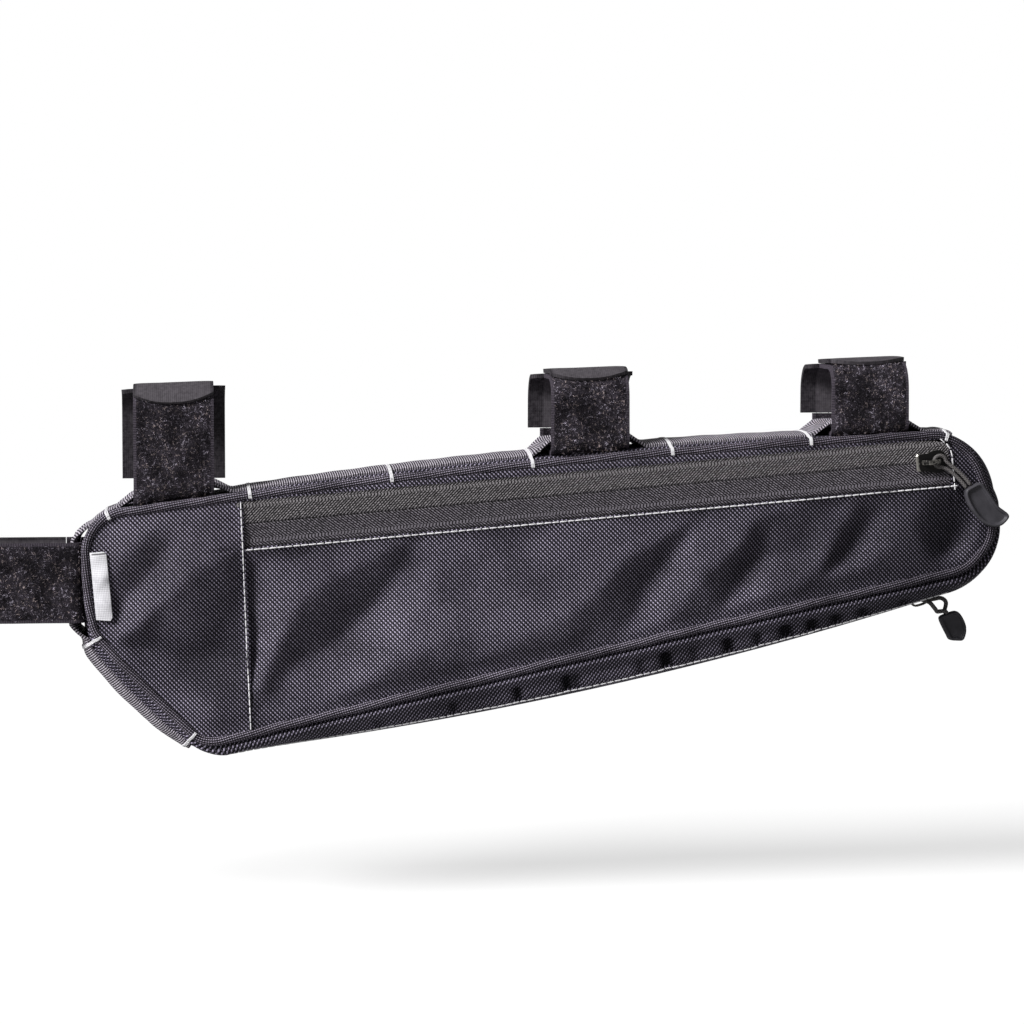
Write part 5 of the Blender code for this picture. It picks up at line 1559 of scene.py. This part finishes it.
def cord_path(length, bend):
    """Middle line of the cord: one leg, round the eye, and the other leg."""
    leg = CORD_RADIUS + 0.00025
    free = length - CORD_NECK
    middles = []
    sides = []
    for k in range(13):
        turn = bend * k / 12
        if bend:
            middles.append((CORD_NECK + free / bend * math.sin(turn), free / bend * (1 - math.cos(turn))))
        else:
            middles.append((CORD_NECK + free * k / 12, 0.0))
        sides.append((-math.sin(turn), math.cos(turn)))
    turns = [math.radians(40 + 10 * k) for k in range(29)]
    eye = [(EYE_RADIUS * math.cos(a), EYE_RADIUS * math.sin(a)) for a in turns]
    upper, lower = (np.array(middles) + side * leg * np.array(sides) for side in (1, -1))
    return [*upper[:0:-1], *eye, *lower[1:]], middles[-1]


def frame_at(origin, along, up):
    """Places given along, across and out from an origin."""
    across = up.cross(along)

    def place(s, t, n):
        return origin + along * s + across * t + up * n
    return place


# Outlines of the moulded tabs: along from the head, and across
SIDE_TAB = ((-0.2, -1.6), (0.0, 1.6), (0.5, 4.6), (1.4, 5.9), (3.2, 6.5), (7.2, 6.7), (12.0, 6.7), (15.9, 6.9),
            (18.4, 7.7), (20.6, 8.5), (22.2, 8.7), (23.4, 7.9), (24.2, 5.6), (24.5, 3.4), (24.0, 1.1), (22.8, -0.9),
            (20.3, -3.1), (16.7, -4.6), (12.6, -5.3), (8.9, -5.4), (4.9, -4.9), (2.3, -4.1), (0.6, -3.0))
UNDER_TAB = ((0.0, -2.9), (-0.2, 0.0), (-0.2, 3.0), (0.1, 4.6), (0.95, 5.8), (2.9, 6.8), (5.6, 7.4), (8.2, 7.6),
             (10.0, 7.3), (12.0, 6.6), (14.2, 5.2), (15.1, 4.1), (15.2, 3.0), (14.7, 1.5), (13.8, -0.8),
             (12.9, -2.4), (11.8, -3.0), (9.8, -3.3), (7.1, -3.8), (4.4, -4.2), (2.0, -4.4), (0.7, -4.1))
# Half of a tab's section, from the middle of its face to its edge: inset, and share of its half thickness
TAB_SECTION = ((4.0, 0.46), (2.7, 0.46), (2.1, 0.50), (1.75, 0.72), (1.45, 0.93), (1.0, 1.0), (0.55, 0.93),
               (0.2, 0.72), (0.0, 0.35))


def tab_mesh(name, outline, place, lean):
    """Moulded tab: rounded body, raised rim and recessed faces."""
    rim = np.array(smooth_ring(np.array(outline) * MM, 3))
    length = rim[:, 0].max()
    along = np.clip(rim[:, 0], length * 0.25, length * 0.75)
    away = np.stack((along, lean[0] + (lean[1] - lean[0]) * along / length), axis=1) - rim
    reach = np.linalg.norm(away, axis=1)[:, None]
    rings = []
    for inset, height in TAB_SECTION + tuple((i, -h) for i, h in TAB_SECTION[::-1]):
        spots = rim + away / reach * np.minimum(inset * MM, reach * 0.85)
        rings.append([place(s, t, height * 2.5 * MM) for s, t in spots])
    points, faces = stacked(rings)
    return closed(mesh_of(name, points, faces, [(p[0], p[2]) for p in points]))


def smooth_ring(points, steps):
    """Closed curve through an outline's points."""
    ring = []
    for i in range(len(points)):
        a, b, c, d = (points[(i + k) % len(points)] for k in (-1, 0, 1, 2))
        for t in np.arange(steps) / steps:
            ring.append(0.5 * (2 * b + (c - a) * t + (2 * a - 5 * b + 4 * c - d) * t * t
                               + (3 * b - a - 3 * c + d) * t ** 3))
    return ring


def make_side_pull():
    tail = (SIDE_SLIDER_X - SIDE_ZIP_FRONT[0]) / math.cos(SIDE_ZIP_SLOPE)
    make_slider("zip_side_slider_body", SIDE, tail, "side_slider", "side_zip_slider")
    pivot = Vector(SIDE.place(tail + SLIDER_LENGTH / 2 + EYE_OFFSET, 0.0, CORD_HEIGHT))
    up = Vector((0.0, -1.0, 0.0))
    flat = frame_at(pivot, way(SIDE_CORD_WAY), up)

    def place(s, t):
        return flat(s, t, max(0.0, s - EYE_RADIUS) * math.tan(math.radians(9)))
    line, end = cord_path(SIDE_CORD, math.radians(SIDE_TAB_WAY - SIDE_CORD_WAY))
    mesh = tube_mesh("cord", [place(s, t) for s, t in line], CORD_RADIUS, 10)
    keep("zip_side_cord", mesh, "pull_cord", "side_cord", ("side_zip_pull_cord",))
    head = place(*end) + way(SIDE_TAB_WAY) * GAP
    mesh = tab_mesh("zip_side_tab", SIDE_TAB, frame_at(head, way(SIDE_TAB_WAY), up), (0.0, 1.4 * MM))
    keep("zip_side_tab", mesh, "pull_rubber", "side_tab", ("side_zip_pull_tab",))


def hanging(origin, angle, length, bend):
    """Places along a path that leaves straight, then turns downwards by an angle over the rest."""
    along = way(angle)
    down = Vector((0.0, 1.0, 0.0)).cross(along)
    radius = (length - CORD_NECK) / math.radians(bend)

    def place(s, t, n):
        turn = max(0.0, s - CORD_NECK) / radius
        run = min(s, CORD_NECK) + radius * math.sin(turn)
        drop = radius * (1 - math.cos(turn))
        out = down * math.cos(turn) - along * math.sin(turn)
        return origin + along * run + down * drop + out * n + Vector((0.0, -t, 0.0))
    return place


def make_under_pull():
    make_slider("zip_under_slider_body", UNDER, 0.0, "under_slider", "under_zip_slider")
    pivot = Vector(UNDER.place(SLIDER_LENGTH / 2 + EYE_OFFSET - EYE_RADIUS, 0.0, CORD_HEIGHT))
    bend = UNDER_CORD_WAY - UNDER_TAB_WAY
    place = hanging(pivot + way(UNDER_CORD_WAY) * EYE_RADIUS, UNDER_CORD_WAY, UNDER_CORD, bend)
    reach = Vector((1.1 * MM, 0.0, 0.1 * MM))
    points = []
    for s, t in cord_path(UNDER_CORD, 0.0)[0]:
        turn = math.radians(75) * ease(max(0.0, s) / 0.007) * (1 - ease((s - 0.007) / 0.004))
        if s > 0:
            t = t * (1 + 2.1 * math.sin(math.pi * np.clip(s / UNDER_CORD, 0, 1)) ** 1.3)
        points.append(place(s, t * math.cos(turn), t * math.sin(turn)) + reach * float(ease(s / 0.006)))
    mesh = tube_mesh("cord", points, CORD_RADIUS * 1.12, 12, start_side=(1.0, 0.0, 0.0))
    keep("zip_under_cord", mesh, "pull_cord", "under_cord", ("under_zip_pull_cord",))
    head = place(UNDER_CORD, 0.0, 0.0) + reach + way(UNDER_TAB_WAY) * GAP
    tab_place = frame_at(head, way(UNDER_TAB_WAY), Vector((0.0, -1.0, 0.0)))
    mesh = tab_mesh("zip_under_tab", UNDER_TAB, tab_place, (1.0 * MM, 2.0 * MM))
    keep("zip_under_tab", mesh, "pull_rubber", "under_tab", ("under_zip_pull_tab",))


def make_tag():
    """Folded tag sewn into the front seam: a flat loop of ribbon, slightly domed."""
    top = Vector(SEAM_CORNERS[0][:2])
    down = (Vector(SEAM_CORNERS[1][:2]) - top).normalized()
    inward = Vector((-down.y, down.x))
    rows = []
    flat = []
    for k in range(41):
        share = k / 40
        spine = top + down * (TAG_TOP + TAG_LENGTH * share)
        ends = max(0.0, (share - 0.93) / 0.07, (0.03 - share) / 0.03)
        reaches = [TAG_WIDTH * (1 - 0.16 * ends ** 2) * j / 14 for j in range(15)]
        spots = [spine + inward * (PIPING_RADIUS - 0.3 * MM + r) + down * 1.0 * MM * share * j / 14
                 for j, r in enumerate(reaches)]
        row = []
        for j, (reach, spot, out) in enumerate(zip(reaches, spots, panel_out(np.array([tuple(s) for s in spots])))):
            base = PANEL_EDGE_Y + PANEL_CROWN * min(1.0, reach / 0.0076) * 0.62
            dome = 0.75 * MM * math.sin(math.pi * min(1.0, 0.12 + j / 14 * 0.88)) ** 0.8 * (1 - 0.5 * ends)
            wave = 0.2 * MM * math.sin(k * 0.42 + j * 0.15)
            row.append((spot.x, -max(out, base) - GAP - 0.8 * MM - dome - wave, spot.y))
        rows.append(row)
        flat.append([(TAG_LENGTH * share, reach) for reach in reaches])
    sheet("side_tag", grid_mesh("tag", rows, flat), "tag_cloth", TAG, ("seam_tag",), (-0.2, 0.1, -0.08))


# Stage


def staged(name, data):
    """Put something that isn't part of the bag in the scene."""
    item = bpy.data.objects.new(name, data)
    bpy.context.collection.objects.link(item)
    return item


def make_stage():
    cloth = Cloth("pale_floor", 0.9, 0.1)
    cloth.shader.inputs["Base Color"].default_value = (0.34, 0.34, 0.34, 1.0)
    cloth.shader.inputs["Emission Strength"].default_value = 1.0
    seen = cloth.net.node("LightPath", output="Is Camera Ray")
    cloth.set("Emission Color", cloth.net.mix(seen, (0.0, 0.0, 0.0), (0.66, 0.66, 0.66)))
    cloth.set("Alpha", 1 - cloth.object.axis(1).smooth(0.4, 3.0))
    corners = [(x, y, FLOOR_Z) for x, y in ((-6, -4), (6, -4), (6, 9), (-6, 9))]
    floor = staged("floor", mesh_of("floor", corners, [(0, 1, 2, 3)]))
    floor.data.materials.append(cloth.material)
    world = bpy.data.worlds.new("studio")
    bpy.context.scene.world = world
    world.use_nodes = True
    net = Net(world.node_tree)
    strength = net.node("LightPath", output="Is Camera Ray") * 0.82 + 0.18
    background = world.node_tree.nodes["Background"]
    background.inputs["Color"].default_value = (1.0, 1.0, 1.0, 1.0)
    world.node_tree.links.new(strength.socket, background.inputs["Strength"])
    key = bpy.data.lights.new("key", "SUN")
    key.energy = 5.4
    key.angle = math.radians(24)
    staged("key", key).rotation_euler = Vector((0.75, 0.39, -0.54)).to_track_quat("-Z", "Y").to_euler()


def make_camera():
    data = bpy.data.cameras.new("camera")
    data.sensor_width = 36.0
    data.lens = 108.07
    data.clip_start = 0.05
    camera = staged("camera", data)
    camera.location = (-0.2006, -1.489, 0.0356)
    camera.rotation_euler = (math.radians(90 - 3.184), 0.0, math.radians(-6.201))
    bpy.context.scene.camera = camera


make_camera()
make_stage()
make_panels()
make_piping("piping_near", -1, "near_piping")
make_piping("piping_far", 1, "far_piping")
make_gusset()
make_bindings()
make_zips()
make_stitches()
make_webbing()
make_straps()
make_side_pull()
make_under_pull()
make_tag()

bpy.context.scene.view_settings.view_transform = "Standard"
